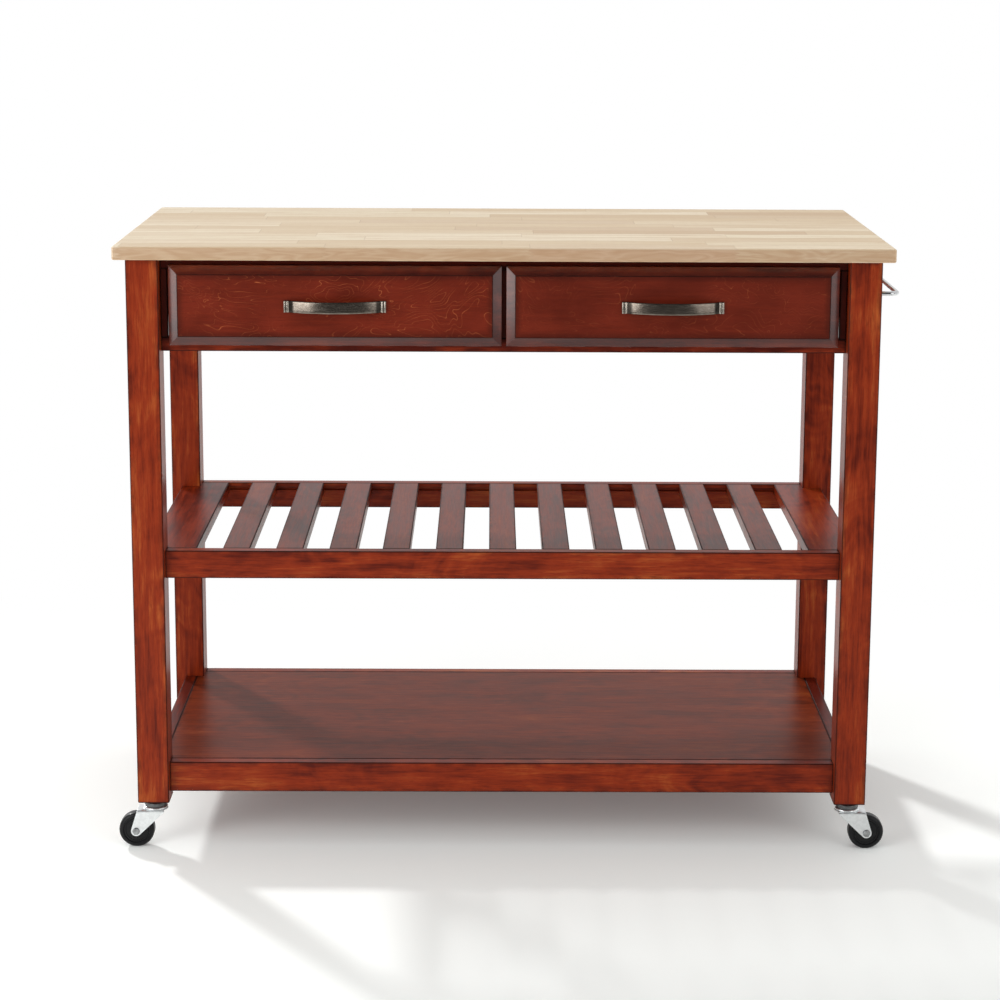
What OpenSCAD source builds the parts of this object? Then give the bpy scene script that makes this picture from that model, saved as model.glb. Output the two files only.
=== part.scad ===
// Rolling kitchen island table: butcher block top, two drawers, a slatted shelf,
// a solid shelf, a towel bar and four swivel casters. Millimetres, +Z up, the
// drawers face -Y, and the origin is on the floor under the middle of the top.

/* [Top] */
// Width of the top, left to right
top_w = 1080; // [980:10:1300]
// Depth of the top, front to back
top_d = 508; // [500:2:640]
// Thickness of the top
top_t = 19; // [16:1:40]
// Height of the work surface above the floor
table_h = 880; // [820:5:960]
// Chamfer that eases the edges of the top
top_ease = 2; // [0.5:0.5:4]

/* [Legs] */
// Side of a square leg
leg = 45; // [40:1:60]
// How far the top stands out past the legs
overhang = 16; // [6:1:40]
// Chamfer along the long edges of legs, rails and boards
edge_ease = 1.2; // [0.4:0.2:2]

/* [Frame] */
// Thickness of aprons, rails and boards
board_t = 18; // [15:1:20]
// Height of the aprons under the top
apron_h = 132.5; // [125:0.5:160]
// Setback of aprons and shelves behind the sides of the legs
side_inset = 16; // [4:1:22]
// Setback of the shelf rails behind the fronts of the legs
front_inset = 16; // [4:1:22]
// Setback of the rear apron and rails behind the backs of the legs
back_inset = 2; // [1:1:20]
// Setback of the face frame behind the fronts of the legs
face_inset = 22; // [20:1:24]
// Height of the rail above the drawers
top_rail_h = 16; // [14:1:20]
// Height of the rail below the drawers
bottom_rail_h = 19.5; // [14:0.5:20]
// Diameter of the dowels that join rails to legs
dowel_d = 8; // [6:1:10]
// Length of a dowel
dowel_len = 28; // [20:1:30]

/* [Drawers] */
// Height of a drawer front
front_h = 112.5; // [106:0.5:116]
// Thickness of a drawer front
front_t = 18; // [15:1:20]
// Gap between a drawer front and the leg beside it
front_reveal = 13; // [8:1:14]
// Gap between the two drawer fronts
front_gap = 6; // [3:1:10]
// Gap between a drawer front and the top
front_drop = 9.5; // [6:0.5:12]
// Width of the bevel round a drawer front
bevel_w = 12.5; // [6:0.5:20]
// Depth of the bevel at its outer edge
bevel_d = 5; // [2:0.5:9]
// Height of the step from the bevel up to the raised field
field_step = 0.8; // [0.2:0.1:1.5]
// Thickness of the drawer box's sides, back and inner front
box_t = 12; // [9:1:16]
// Height of the drawer box
box_h = 84; // [60:1:88]
// Thickness of the drawer's bottom panel
box_bottom_t = 5; // [3:1:8]
// Depth of the grooves that hold a panel or a tongue
groove = 6; // [3:1:7]

/* [Slides] */
// Gap between the slides and the rear apron
slide_end_gap = 15; // [3:1:60]
// Height of a slide
slide_h = 35; // [33:1:45]
// Space that a slide takes up beside the drawer box
slide_t = 12.7; // [12.3:0.1:14]
// Thickness of the slides' steel strip
slide_metal = 1.2; // [1:0.1:1.3]
// Number of balls in each row of a cage
ball_count = 8; // [4:1:8]
// Diameter of a slide's balls
ball_d = 5; // [4:0.2:5]

/* [Pulls] */
// Distance between the screws of a pull
pull_pitch = 128; // [96:2:160]
// Length of each foot past its screw
pull_foot = 7; // [6:0.5:12]
// Height of the strap
pull_h = 16.4; // [10:0.2:22]
// How far the strap stands off the drawer front
pull_reach = 21; // [16:1:30]
// Thickness of the strap
pull_strap = 3.4; // [2.4:0.2:4]

/* [Slatted shelf] */
// Height of the slatted shelf's surface
slat_shelf_z = 442; // [300:2:560]
// Height of the slatted shelf's front and rear rails
slat_rail_h = 40; // [30:1:60]
// Number of slats
slat_count = 11; // [7:1:13]
// Width of a slat
slat_w = 39; // [25:1:44]
// Width of each end board
end_board_w = 71.5; // [60:0.5:100]

/* [Solid shelf] */
// Height of the solid shelf's surface
solid_shelf_z = 128; // [120:1:220]
// Height of the solid shelf's rails
solid_rail_h = 44; // [36:1:46]
// Thickness of the solid shelf's panel
panel_t = 15; // [14:1:20]

/* [Towel bar] */
// Diameter of the towel bar
bar_d = 6.5; // [5:0.5:10]
// Gap between the leg and the middle of the bar
bar_reach = 25.5; // [20:0.5:27]
// Height of the bar below the top surface
bar_drop = 66.5; // [40:0.5:100]
// Radius of the bar's bends, at the middle of the rod
bar_bend = 12; // [8:1:16]

/* [Casters] */
// Height of a caster under the leg
caster_h = 72; // [70:1:90]
// Diameter of a wheel
wheel_d = 51; // [44:1:52]
// Width of a wheel
wheel_w = 20; // [16:1:22]
// Distance of the axle behind the swivel axis
trail = 27.5; // [20:0.5:28]
// Diameter of the stem in the leg
stem_d = 11; // [8:0.5:11]
// Length of the stem in the leg
stem_len = 36; // [30:1:36]
// Thickness of the fork's steel
fork_metal = 2; // [1.5:0.1:2.5]
// Diameter of the axle
axle_d = 6; // [5:0.5:8]
// Diameter of the swivel head
swivel_d = 32; // [28:1:36]

/* [Hidden] */
$fn = 64;

// Left and right, front and back
LEFT = -1;
RIGHT = 1;
FRONT = -1;
BACK = 1;

// Colours
BLOCK_WOOD = "#d9c3a0";
CHERRY = "#7c351f";
DRAWER_WOOD = "#cbb48c";
ZINC = "#c3c8c8";
PEWTER = "#5f584f";
CHROME = "#d8dadb";
BLACK = "#1d1d1f";

// Clearances: a seat between still pieces, a running fit, and bodies that pass
seat_gap = 0.2;
run_gap = 0.05;
pass_gap = 0.3;
// Extra length of a cutter, so that it passes right through
past = 1;

// Legs
leg_x = top_w / 2 - overhang - leg / 2;
leg_y = top_d / 2 - overhang - leg / 2;
leg_in_x = leg_x - leg / 2;
leg_in_y = leg_y - leg / 2;
leg_out_x = leg_x + leg / 2;
leg_out_y = leg_y + leg / 2;
top_under = table_h - top_t;

// Frame. The end stiles are as wide as the strips that carry the slides, and the
// middle stile as wide as the partition, so the slides pass them.
apron_z = top_under - apron_h;
frame_out_x = leg_out_x - side_inset;
shelf_front_y = front_inset - leg_out_y;
frame_back_y = leg_out_y - back_inset;
face_y = face_inset - leg_out_y;
face_back_y = face_y + board_t;
apron_in_y = frame_back_y - board_t;
rail_under_z = apron_z + bottom_rail_h;
rail_over_z = top_under - top_rail_h;
partition_t = board_t;
cleat = [18, 60, 18];
cleat_y = leg_in_y * 0.57;
cleat_x = leg_in_x * 0.42;
screw_d = 4;
screw_head_d = 8;
screw_bite = 12;

// Slides: a cabinet channel on the frame, a drawer channel on the box
slide_support_t = 10;
slide_support_h = slide_h + 10;
slide_outer_x = leg_in_x - slide_support_t;
slide_inner_x = partition_t / 2;
slide_y = face_back_y + 1;
slide_len = apron_in_y - slide_end_gap - slide_y;
box_z = rail_under_z + 4;
slide_z = box_z + box_h / 2;
slide_lip_x = slide_t - 1.9;
slide_lip_h = 3.1;
ball_x = 6.4;
ball_z = slide_h / 2 - slide_metal - pass_gap - ball_d / 2;
ball_pitch = 15;
drawer_channel_h = ball_z - ball_d / 2 - pass_gap;
drawer_lip_x = 2.8;
cage_t = 0.8;
cage_x = slide_metal + 0.4;
cage_lip_x = slide_lip_x - slide_metal - 0.15;
cage_len = ball_count * ball_pitch;
// A drawer opens until only its cages' length is left inside the channels
drawer_travel = slide_len - cage_len;
cage_y = slide_y + drawer_travel / 2;

// Drawers
front_in_x = front_gap / 2;
front_out_x = leg_in_x - front_reveal;
front_w = front_out_x - front_in_x;
front_mid_x = (front_out_x + front_in_x) / 2;
front_back_y = face_y - 1;
front_face_y = front_back_y - front_t;
front_top_z = top_under - front_drop;
front_z = front_top_z - front_h;
front_mid_z = front_z + front_h / 2;
box_out_x = slide_outer_x - slide_t;
box_in_x = slide_inner_x + slide_t;
box_mid_x = (box_out_x + box_in_x) / 2;
box_w = box_out_x - box_in_x;
box_back_y = slide_y + slide_len;
box_bottom_z = box_z + 8;

// Pulls
pull_bend_x = pull_pitch / 2 - 6;
pull_rise_x = pull_pitch / 2;
pull_base_t = 4;
pull_bend_y = pull_base_t + 2.3;
pull_crown = pull_reach - pull_strap / 2 - pull_bend_y;
pull_screw_d = 4;
bead_r = 1.5;

// Shelves
slat_open_x = frame_out_x - end_board_w;
slat_gap = (2 * slat_open_x - slat_count * slat_w) / (slat_count + 1);
slat_t = board_t;
tongue_t = 6;
shelf_in_front_y = shelf_front_y + board_t;

// Towel bar
bar_x = leg_out_x + bar_reach;
bar_z = table_h - bar_drop;
bar_socket = 20;

// Casters
axle_z = wheel_d / 2;
crown_top_z = wheel_d + 6.4;
crown_z = crown_top_z - fork_metal;
race_h = 4.3;
cup_z = crown_top_z + race_h + pass_gap;
kingpin_d = 8;
cheek_y = wheel_w / 2 + 1.5;
fork_half_w = cheek_y + fork_metal;
boss_r = axle_d / 2 + 4.5;
fork_nose_x = 3 - swivel_d / 2;
hub_proud = 0.7;
tyre_round = 5;

// A rectangle with its corners cut off at 45 degrees
module eased_rect(size_x, size_y, cut) {
    x = size_x / 2;
    y = size_y / 2;
    polygon([
        [-x + cut, -y], [x - cut, -y], [x, -y + cut], [x, y - cut],
        [x - cut, y], [-x + cut, y], [-x, y - cut], [-x, -y + cut]
    ]);
}

// A board between two corner points, with its four long edges eased
module board(low, high, along, cut = edge_ease) {
    size = high - low;
    mid = (low + high) / 2;
    if (along == "x")
        translate([low.x, mid.y, mid.z]) rotate([90, 0, 90])
            linear_extrude(size.x) eased_rect(size.y, size.z, cut);
    if (along == "y")
        translate([mid.x, high.y, mid.z]) rotate([90, 0, 0])
            linear_extrude(size.y) eased_rect(size.x, size.z, cut);
    if (along == "z")
        translate([mid.x, mid.y, low.z])
            linear_extrude(size.z) eased_rect(size.x, size.y, cut);
}

// A plain block between two corner points
module block(low, high) {
    translate(low) cube(high - low);
}

// A cylinder along X or Y, centred on a point
module rod_x(at, d, len) {
    translate(at) rotate([0, 90, 0]) cylinder(d = d, h = len, center = true);
}

module rod_y(at, d, len) {
    translate(at) rotate([90, 0, 0]) cylinder(d = d, h = len, center = true);
}

// Dowel places. Each is a point on the joint between a rail's end and a leg.
apron_mid_z = apron_z + apron_h / 2;
slat_rail_mid_z = slat_shelf_z - slat_rail_h / 2;
solid_rail_mid_z = solid_shelf_z - solid_rail_h / 2;
front_dowels_yz = [
    [face_y + board_t / 2, apron_z + bottom_rail_h / 2],
    [face_y + board_t / 2, top_under - top_rail_h / 2],
    [shelf_front_y + board_t / 2, slat_rail_mid_z],
    [shelf_front_y + board_t / 2, solid_rail_mid_z - 8]
];
back_dowels_yz = [
    [frame_back_y - board_t / 2, apron_mid_z - 38],
    [frame_back_y - board_t / 2, apron_mid_z + 38],
    [frame_back_y - board_t / 2, slat_rail_mid_z],
    [frame_back_y - board_t / 2, solid_rail_mid_z - 8]
];
side_dowels_z = [apron_mid_z - 22, apron_mid_z + 22, solid_rail_mid_z + 8];

module dowels_at(side, end, d, len) {
    for (yz = end == FRONT ? front_dowels_yz : back_dowels_yz)
        rod_x([side * leg_in_x, yz[0], yz[1]], d, len);
    for (z = side_dowels_z)
        rod_y([side * (frame_out_x - board_t / 2), end * leg_in_y, z], d, len);
}

module all_dowel_holes() {
    for (side = [LEFT, RIGHT])
        for (end = [FRONT, BACK])
            dowels_at(side, end, dowel_d + 2 * run_gap, dowel_len + 2);
}

module frame_dowels() {
    color(DRAWER_WOOD)
        for (side = [LEFT, RIGHT])
            for (end = [FRONT, BACK])
                dowels_at(side, end, dowel_d, dowel_len);
}

// Top: a slab with every edge eased, and pilot holes for its screws
module screw_places() {
    for (side = [LEFT, RIGHT])
        for (y = [-cleat_y, cleat_y])
            translate([side * (frame_out_x - board_t - cleat.x / 2), y, 0]) children();
    for (x = [-cleat_x, cleat_x])
        translate([x, apron_in_y - cleat.x / 2, 0]) children();
}

module butcher_block_top() {
    color(BLOCK_WOOD)
        difference() {
            translate([0, 0, top_under + top_t / 2])
                intersection() {
                    linear_extrude(top_t, center = true)
                        eased_rect(top_w, top_d, top_ease);
                    rotate([90, 0, 0])
                        linear_extrude(top_d, center = true)
                            eased_rect(top_w, top_t, top_ease);
                    rotate([90, 0, 90])
                        linear_extrude(top_w, center = true)
                            eased_rect(top_d, top_t, top_ease);
                }
            screw_places()
                translate([0, 0, top_under - past])
                    cylinder(d = screw_d + 2 * run_gap, h = screw_bite + 1 + past);
        }
}

module top_cleats() {
    color(CHERRY)
        difference() {
            union() {
                for (side = [LEFT, RIGHT])
                    for (y = [-cleat_y, cleat_y])
                        cleat_between(side * (frame_out_x - board_t - cleat.x / 2), y,
                                      cleat.x, cleat.y);
                for (x = [-cleat_x, cleat_x])
                    cleat_between(x, apron_in_y - cleat.x / 2, cleat.y, cleat.x);
            }
            screw_places() {
                translate([0, 0, top_under - cleat.z - past])
                    cylinder(d = screw_d + 2 * run_gap, h = cleat.z + 2 * past);
                translate([0, 0, top_under - cleat.z - past])
                    cylinder(d = screw_head_d + 2 * run_gap, h = 3 + past);
            }
        }
}

module cleat_between(x, y, size_x, size_y) {
    block([x - size_x / 2, y - size_y / 2, top_under - cleat.z],
          [x + size_x / 2, y + size_y / 2, top_under]);
}

module top_screws() {
    color(ZINC)
        screw_places() {
            translate([0, 0, top_under - cleat.z + 3])
                cylinder(d = screw_d, h = cleat.z - 3 + screw_bite);
            translate([0, 0, top_under - cleat.z + 0.8])
                difference() {
                    cylinder(d = screw_head_d, h = 2.2);
                    for (turn = [0, 90])
                        rotate([0, 0, turn])
                            cube([5, 1, 2], center = true);
                }
        }
}

// Legs: square posts, bored for the dowels, the caster stem and the towel bar
module leg_post(side, end) {
    color(CHERRY)
        difference() {
            translate([side * leg_x, end * leg_y, 0])
                board([-leg / 2, -leg / 2, caster_h], [leg / 2, leg / 2, top_under], "z",
                      edge_ease * 1.25);
            dowels_at(side, end, dowel_d + 2 * run_gap, dowel_len + 2);
            translate([side * leg_x, end * leg_y, caster_h - past])
                cylinder(d = stem_d + 2 * run_gap, h = stem_len + 2 + past);
            if (side == RIGHT)
                rod_x([leg_out_x, end * leg_y, bar_z], bar_d + 2 * run_gap,
                      2 * bar_socket + 2);
        }
}

// Aprons and the face frame round the drawers
module side_apron(side) {
    color(CHERRY)
        difference() {
            translate([side * (frame_out_x - board_t / 2), 0, 0])
                board([-board_t / 2, -leg_in_y, apron_z], [board_t / 2, leg_in_y, top_under],
                      "y");
            all_dowel_holes();
        }
}

module back_apron() {
    color(CHERRY)
        difference() {
            board([-leg_in_x, apron_in_y, apron_z], [leg_in_x, frame_back_y, top_under], "x");
            all_dowel_holes();
        }
}

module face_rail(low_z, high_z) {
    color(CHERRY)
        difference() {
            board([-leg_in_x, face_y, low_z], [leg_in_x, face_back_y, high_z], "x");
            all_dowel_holes();
        }
}

module face_stile(low_x, high_x) {
    color(CHERRY)
        board([low_x, face_y, rail_under_z], [high_x, face_back_y, rail_over_z], "z");
}

module centre_partition() {
    color(CHERRY)
        board([-partition_t / 2, face_back_y, apron_z],
              [partition_t / 2, apron_in_y, top_under], "y");
}

module slide_supports() {
    color(CHERRY)
        for (side = [LEFT, RIGHT])
            translate([side * (leg_in_x - slide_support_t / 2), 0, slide_z])
                board([-slide_support_t / 2, face_back_y, -slide_support_h / 2],
                      [slide_support_t / 2, apron_in_y, slide_support_h / 2], "y");
}

// Slide profiles, in a plane across the slide. X runs from the cabinet to the
// drawer box, and each profile is symmetric in its height.
function mirrored_up(points) = concat(
    points,
    [for (i = [len(points) - 1:-1:0]) [points[i][0], -points[i][1]]]
);

module cabinet_profile() {
    h = slide_h / 2;
    polygon(mirrored_up([
        [0, h], [slide_lip_x, h],
        [slide_lip_x, h - slide_lip_h], [slide_lip_x - slide_metal, h - slide_lip_h],
        [slide_lip_x - slide_metal, h - slide_metal], [slide_metal, h - slide_metal]
    ]));
}

module drawer_profile() {
    h = drawer_channel_h;
    lip_top = h + 1.5;
    polygon(mirrored_up([
        [slide_t, h], [drawer_lip_x + slide_metal, h],
        [drawer_lip_x + slide_metal, lip_top], [drawer_lip_x, lip_top],
        [drawer_lip_x, h - slide_metal], [slide_t - slide_metal, h - slide_metal]
    ]));
}

module cage_profile() {
    h = ball_z + cage_t / 2;
    polygon(mirrored_up([
        [cage_x, h], [cage_lip_x, h],
        [cage_lip_x, h - cage_t], [cage_x + cage_t, h - cage_t]
    ]));
}

// Children drawn across a slide are run along it, on the cabinet side at x
module along_slide(x, toward, from_y, len) {
    translate([x, from_y + len, slide_z])
        rotate([90, 0, 0])
            mirror([toward < 0 ? 1 : 0, 0, 0])
                linear_extrude(len) children();
}

module cabinet_slide_channels() {
    color(ZINC)
        for (side = [LEFT, RIGHT]) {
            along_slide(side * slide_outer_x, -side, slide_y, slide_len) cabinet_profile();
            along_slide(side * slide_inner_x, side, slide_y, slide_len) cabinet_profile();
        }
}

module drawer_slide_channels(side) {
    color(ZINC) {
        along_slide(side * slide_outer_x, -side, slide_y, slide_len) drawer_profile();
        along_slide(side * slide_inner_x, side, slide_y, slide_len) drawer_profile();
    }
}

module ball_places(x, toward) {
    for (i = [0:ball_count - 1])
        for (up = [-1, 1])
            translate([x + toward * ball_x, cage_y + (i + 0.5) * ball_pitch,
                       slide_z + up * ball_z])
                children();
}

module ball_cage(x, toward) {
    difference() {
        along_slide(x, toward, cage_y, cage_len) cage_profile();
        ball_places(x, toward)
            cylinder(d = ball_d + 0.2, h = 4 * cage_t, center = true);
    }
    ball_places(x, toward) sphere(d = ball_d);
}

module ball_cages(side) {
    color(CHROME) {
        ball_cage(side * slide_outer_x, -side);
        ball_cage(side * slide_inner_x, side);
    }
}

// Drawer front: a raised field with a bevel on all four sides
module bevelled_edge(size) {
    polygon([
        [-size / 2, 0], [size / 2, 0], [size / 2, bevel_d - front_t],
        [size / 2 - bevel_w, field_step - front_t], [size / 2 - bevel_w, -front_t],
        [bevel_w - size / 2, -front_t], [bevel_w - size / 2, field_step - front_t],
        [-size / 2, bevel_d - front_t]
    ]);
}

module pull_screw_places(side) {
    for (x = [-pull_pitch / 2, pull_pitch / 2])
        translate([side * front_mid_x + x, 0, front_mid_z]) children();
}

module drawer_front(side) {
    color(CHERRY)
        difference() {
            translate([side * front_mid_x, front_back_y, front_mid_z])
                intersection() {
                    linear_extrude(front_h, center = true) bevelled_edge(front_w);
                    rotate([0, 90, 0])
                        linear_extrude(front_w, center = true) bevelled_edge(front_h);
                }
            pull_screw_places(side)
                rod_y([0, front_back_y, 0], pull_screw_d + 2 * run_gap, 3 * front_t);
        }
}

// Drawer box: two sides, an inner front, a back and a panel in grooves
module bottom_groove(side) {
    block([side * box_mid_x - box_w / 2 + box_t - groove, front_back_y - past, box_bottom_z],
          [side * box_mid_x + box_w / 2 - box_t + groove, box_back_y - box_t + groove,
           box_bottom_z + box_bottom_t + seat_gap]);
}

module drawer_sides(side) {
    color(DRAWER_WOOD)
        difference() {
            for (x = [side * box_mid_x - box_w / 2, side * box_mid_x + box_w / 2 - box_t])
                board([x, front_back_y, box_z], [x + box_t, box_back_y, box_z + box_h], "y",
                      edge_ease / 2);
            bottom_groove(side);
        }
}

module drawer_cross_board(side, low_y) {
    color(DRAWER_WOOD)
        difference() {
            board([side * box_mid_x - box_w / 2 + box_t, low_y, box_z],
                  [side * box_mid_x + box_w / 2 - box_t, low_y + box_t, box_z + box_h], "x",
                  edge_ease / 2);
            translate([0, low_y > 0 ? 0 : box_t - groove + past, 0]) bottom_groove(side);
            pull_screw_places(side)
                rod_y([0, front_back_y, 0], pull_screw_d + 2 * run_gap, 3 * front_t);
        }
}

module drawer_bottom(side) {
    reach = groove - seat_gap;
    color(DRAWER_WOOD)
        block([side * box_mid_x - box_w / 2 + box_t - reach,
               front_back_y + box_t - reach, box_bottom_z],
              [side * box_mid_x + box_w / 2 - box_t + reach,
               box_back_y - box_t + reach, box_bottom_z + box_bottom_t]);
}

// Pull: a strap bowed in one long curve between two beaded feet
module pull_outline() {
    apex = pull_reach - pull_strap / 2;
    curve_r = (pow(pull_bend_x, 2) + pow(pull_crown, 2)) / (2 * pull_crown);
    rise = [pull_rise_x - pull_bend_x, pull_bend_y - pull_base_t + pull_strap / 2];
    rise_len = norm(rise);
    rise_angle = atan2(rise.y, -rise.x);
    intersection() {
        translate([0, apex - curve_r])
            difference() {
                circle(r = curve_r + pull_strap / 2, $fn = 240);
                circle(r = curve_r - pull_strap / 2, $fn = 240);
            }
        translate([-pull_bend_x, 0]) square([2 * pull_bend_x, 2 * pull_reach]);
    }
    for (flip = [0, 1])
        mirror([flip, 0]) {
            translate([pull_bend_x, pull_bend_y]) circle(d = pull_strap);
            translate([pull_rise_x, pull_base_t - pull_strap / 2]) {
                circle(d = pull_strap);
                rotate(rise_angle)
                    translate([0, -pull_strap / 2]) square([rise_len, pull_strap]);
            }
            translate([pull_rise_x - 3, 0]) square([pull_foot + 3, pull_base_t - bead_r]);
            for (x = [pull_foot - bead_r, pull_foot - 3.4 * bead_r])
                translate([pull_rise_x + x, pull_base_t - bead_r]) circle(r = bead_r);
        }
}

module drawer_pull(side) {
    color(PEWTER)
        difference() {
            translate([side * front_mid_x, front_face_y, front_mid_z])
                mirror([0, 1, 0])
                    linear_extrude(pull_h, center = true) pull_outline();
            pull_screw_places(side)
                rod_y([0, front_face_y, 0], pull_screw_d + 2 * run_gap, 2 * pull_base_t - 2);
        }
}

module pull_screws(side) {
    head_y = front_back_y + box_t;
    tip_y = front_face_y - pull_base_t + 1.2;
    color(ZINC)
        pull_screw_places(side) {
            rod_y([0, (head_y + tip_y) / 2, 0], pull_screw_d, head_y - tip_y);
            rod_y([0, head_y + 1, 0], 2 * pull_screw_d, 2);
        }
}

// Slatted shelf: rails with a groove, end boards and slats with tongues
module shelf_tongue_slot(top_z, thick) {
    mid_z = top_z - thick / 2;
    block([-leg_in_x, shelf_in_front_y - groove, mid_z - tongue_t / 2 - seat_gap],
          [leg_in_x, apron_in_y + groove, mid_z + tongue_t / 2 + seat_gap]);
}

module shelf_rail(y, top_z, height, thick) {
    color(CHERRY)
        difference() {
            board([-leg_in_x, y, top_z - height], [leg_in_x, y + board_t, top_z], "x");
            all_dowel_holes();
            shelf_tongue_slot(top_z, thick);
        }
}

module tongue(low_x, high_x, top_z, thick) {
    reach = groove - seat_gap;
    mid_z = top_z - thick / 2;
    block([low_x, shelf_in_front_y - reach, mid_z - tongue_t / 2],
          [high_x, apron_in_y + reach, mid_z + tongue_t / 2]);
}

module slatted_shelf_slats() {
    color(CHERRY)
        for (i = [0:slat_count - 1]) {
            x = -slat_open_x + slat_gap + i * (slat_w + slat_gap);
            board([x, shelf_in_front_y, slat_shelf_z - slat_t],
                  [x + slat_w, apron_in_y, slat_shelf_z], "y");
            tongue(x + 2, x + slat_w - 2, slat_shelf_z, slat_t);
        }
}

// Cuts the corners of a shelf away round the legs
module leg_notches() {
    for (side = [LEFT, RIGHT])
        for (end = [FRONT, BACK])
            translate([side * leg_x, end * leg_y, table_h / 2])
                cube([leg + 2 * seat_gap, leg + 2 * seat_gap, table_h], center = true);
}

module slatted_shelf_end_boards() {
    color(CHERRY)
        for (side = [LEFT, RIGHT])
            difference() {
                union() {
                    translate([side * (slat_open_x + end_board_w / 2), 0, slat_shelf_z])
                        board([-end_board_w / 2, shelf_in_front_y, -slat_t],
                              [end_board_w / 2, apron_in_y, 0], "y");
                    tongue(side > 0 ? slat_open_x + 2 : -leg_in_x + 1,
                           side > 0 ? leg_in_x - 1 : -slat_open_x - 2,
                           slat_shelf_z, slat_t);
                }
                leg_notches();
            }
}

// Solid shelf: a panel flush inside a frame of four rails
module solid_shelf_side_rails() {
    color(CHERRY)
        difference() {
            for (side = [LEFT, RIGHT])
                translate([side * (frame_out_x - board_t / 2), 0, solid_shelf_z])
                    board([-board_t / 2, -leg_in_y, -solid_rail_h],
                          [board_t / 2, leg_in_y, 0], "y");
            all_dowel_holes();
        }
}

module solid_shelf_panel() {
    half_x = frame_out_x - board_t;
    color(CHERRY)
        difference() {
            union() {
                board([-half_x, shelf_in_front_y, solid_shelf_z - panel_t],
                      [half_x, apron_in_y, solid_shelf_z], "x", edge_ease * 0.6);
                tongue(-leg_in_x + 1, leg_in_x - 1, solid_shelf_z, panel_t);
            }
            leg_notches();
        }
}

// Towel bar: one rod with a bend and a stub at each end, let into the right legs
module towel_bar() {
    color(CHROME) {
        straight = 2 * (leg_y - bar_bend);
        stub = bar_reach - bar_bend + bar_socket;
        rod_y([bar_x, 0, bar_z], bar_d, straight);
        for (end = [FRONT, BACK]) {
            rod_x([leg_out_x - bar_socket + stub / 2, end * leg_y, bar_z], bar_d, stub);
            translate([bar_x - bar_bend, end * (leg_y - bar_bend), bar_z])
                rotate([0, 0, end == FRONT ? -90 : 0])
                    rotate_extrude(angle = 90)
                        translate([bar_bend, 0]) circle(d = bar_d, $fn = 32);
        }
    }
}

// Children modelled at the origin with the trail along +X are put at one leg.
// The left casters trail to the left, the right ones to the right.
module at_caster(side, end) {
    translate([side * leg_x, end * leg_y, 0])
        rotate([0, 0, side == LEFT ? 180 : 0]) children();
}

// Stem, upper cup and kingpin in one turned and pressed piece
module caster_stem() {
    cup_r = swivel_d / 2;
    cup_h = caster_h - cup_z;
    difference() {
        rotate_extrude()
            difference() {
                union() {
                    translate([0, cup_z]) square([cup_r, cup_h * 0.45]);
                    translate([0, cup_z]) square([cup_r * 0.86, cup_h]);
                    translate([cup_r * 0.86, cup_z + cup_h * 0.45])
                        circle(r = cup_r * 0.14, $fn = 32);
                    translate([0, crown_z - pass_gap - 1.8])
                        square([kingpin_d / 2, cup_z - crown_z + pass_gap + 1.8]);
                    translate([0, crown_z - pass_gap - 1.8]) square([kingpin_d * 0.85, 1.8]);
                    translate([0, caster_h]) square([stem_d / 2, stem_len - 3]);
                    translate([0, caster_h]) square([stem_d / 2 - 1.5, stem_len]);
                }
                translate([stem_d / 2, caster_h + stem_len - 9])
                    circle(d = 1.6, $fn = 24);
            }
    }
}

module caster_stems() {
    color(ZINC)
        for (side = [LEFT, RIGHT])
            for (end = [FRONT, BACK])
                at_caster(side, end) caster_stem();
}

// The outline of a fork cheek: straight sides that run tangent to the axle boss.
// They aim a hair inside it, so that they cross its edge cleanly.
function tangent_angle(from, to, r, turn) =
    atan2(to.y - from.y, to.x - from.x) + turn * asin(r / norm(to - from)) - turn * 90;

module cheek_outline() {
    boss = [trail, axle_z];
    nose = [fork_nose_x, crown_z - 1.5];
    heel = [trail - 2, crown_top_z];
    r = boss_r - 0.03;
    nose_turn = tangent_angle(nose, boss, r, -1);
    heel_turn = tangent_angle(heel, boss, r, 1);
    polygon([
        [nose.x, crown_top_z], nose,
        boss + r * [cos(nose_turn + 180), sin(nose_turn + 180)],
        boss,
        boss + r * [cos(heel_turn + 180), sin(heel_turn + 180)],
        heel
    ]);
    translate(boss) circle(r = boss_r);
}

module caster_fork(side, end) {
    color(ZINC)
        at_caster(side, end)
            difference() {
                union() {
                    translate([0, 0, crown_z]) cylinder(r = swivel_d / 2 + 2, h = fork_metal);
                    block([fork_nose_x, -fork_half_w, crown_z],
                          [trail - 2, fork_half_w, crown_top_z]);
                    for (y = [cheek_y, -fork_half_w])
                        translate([0, y + fork_metal, 0]) rotate([90, 0, 0])
                            linear_extrude(fork_metal) cheek_outline();
                    rotate_extrude()
                        union() {
                            translate([kingpin_d, crown_top_z])
                                square([swivel_d / 2 - kingpin_d - 0.5, race_h]);
                            translate([swivel_d / 2 - 0.5, crown_top_z + race_h / 2])
                                circle(d = race_h, $fn = 32);
                        }
                }
                translate([0, 0, crown_z - past])
                    cylinder(d = kingpin_d + 2 * run_gap, h = 2 * fork_metal + 2 * past);
                rod_y([trail, 0, axle_z], axle_d + 2 * run_gap, 4 * fork_half_w);
            }
}

module caster_axle(side, end) {
    len = 2 * fork_half_w;
    color(ZINC)
        at_caster(side, end)
            translate([trail, 0, axle_z]) {
                rod_y([0, 0, 0], axle_d, len + 5);
                for (y = [-len / 2 - 1.6, len / 2 + 1.6])
                    translate([0, y, 0]) rotate([90, 0, 0])
                        cylinder(r = axle_d / 2 + 2.2, h = 3.2, center = true, $fn = 6);
            }
}

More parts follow.
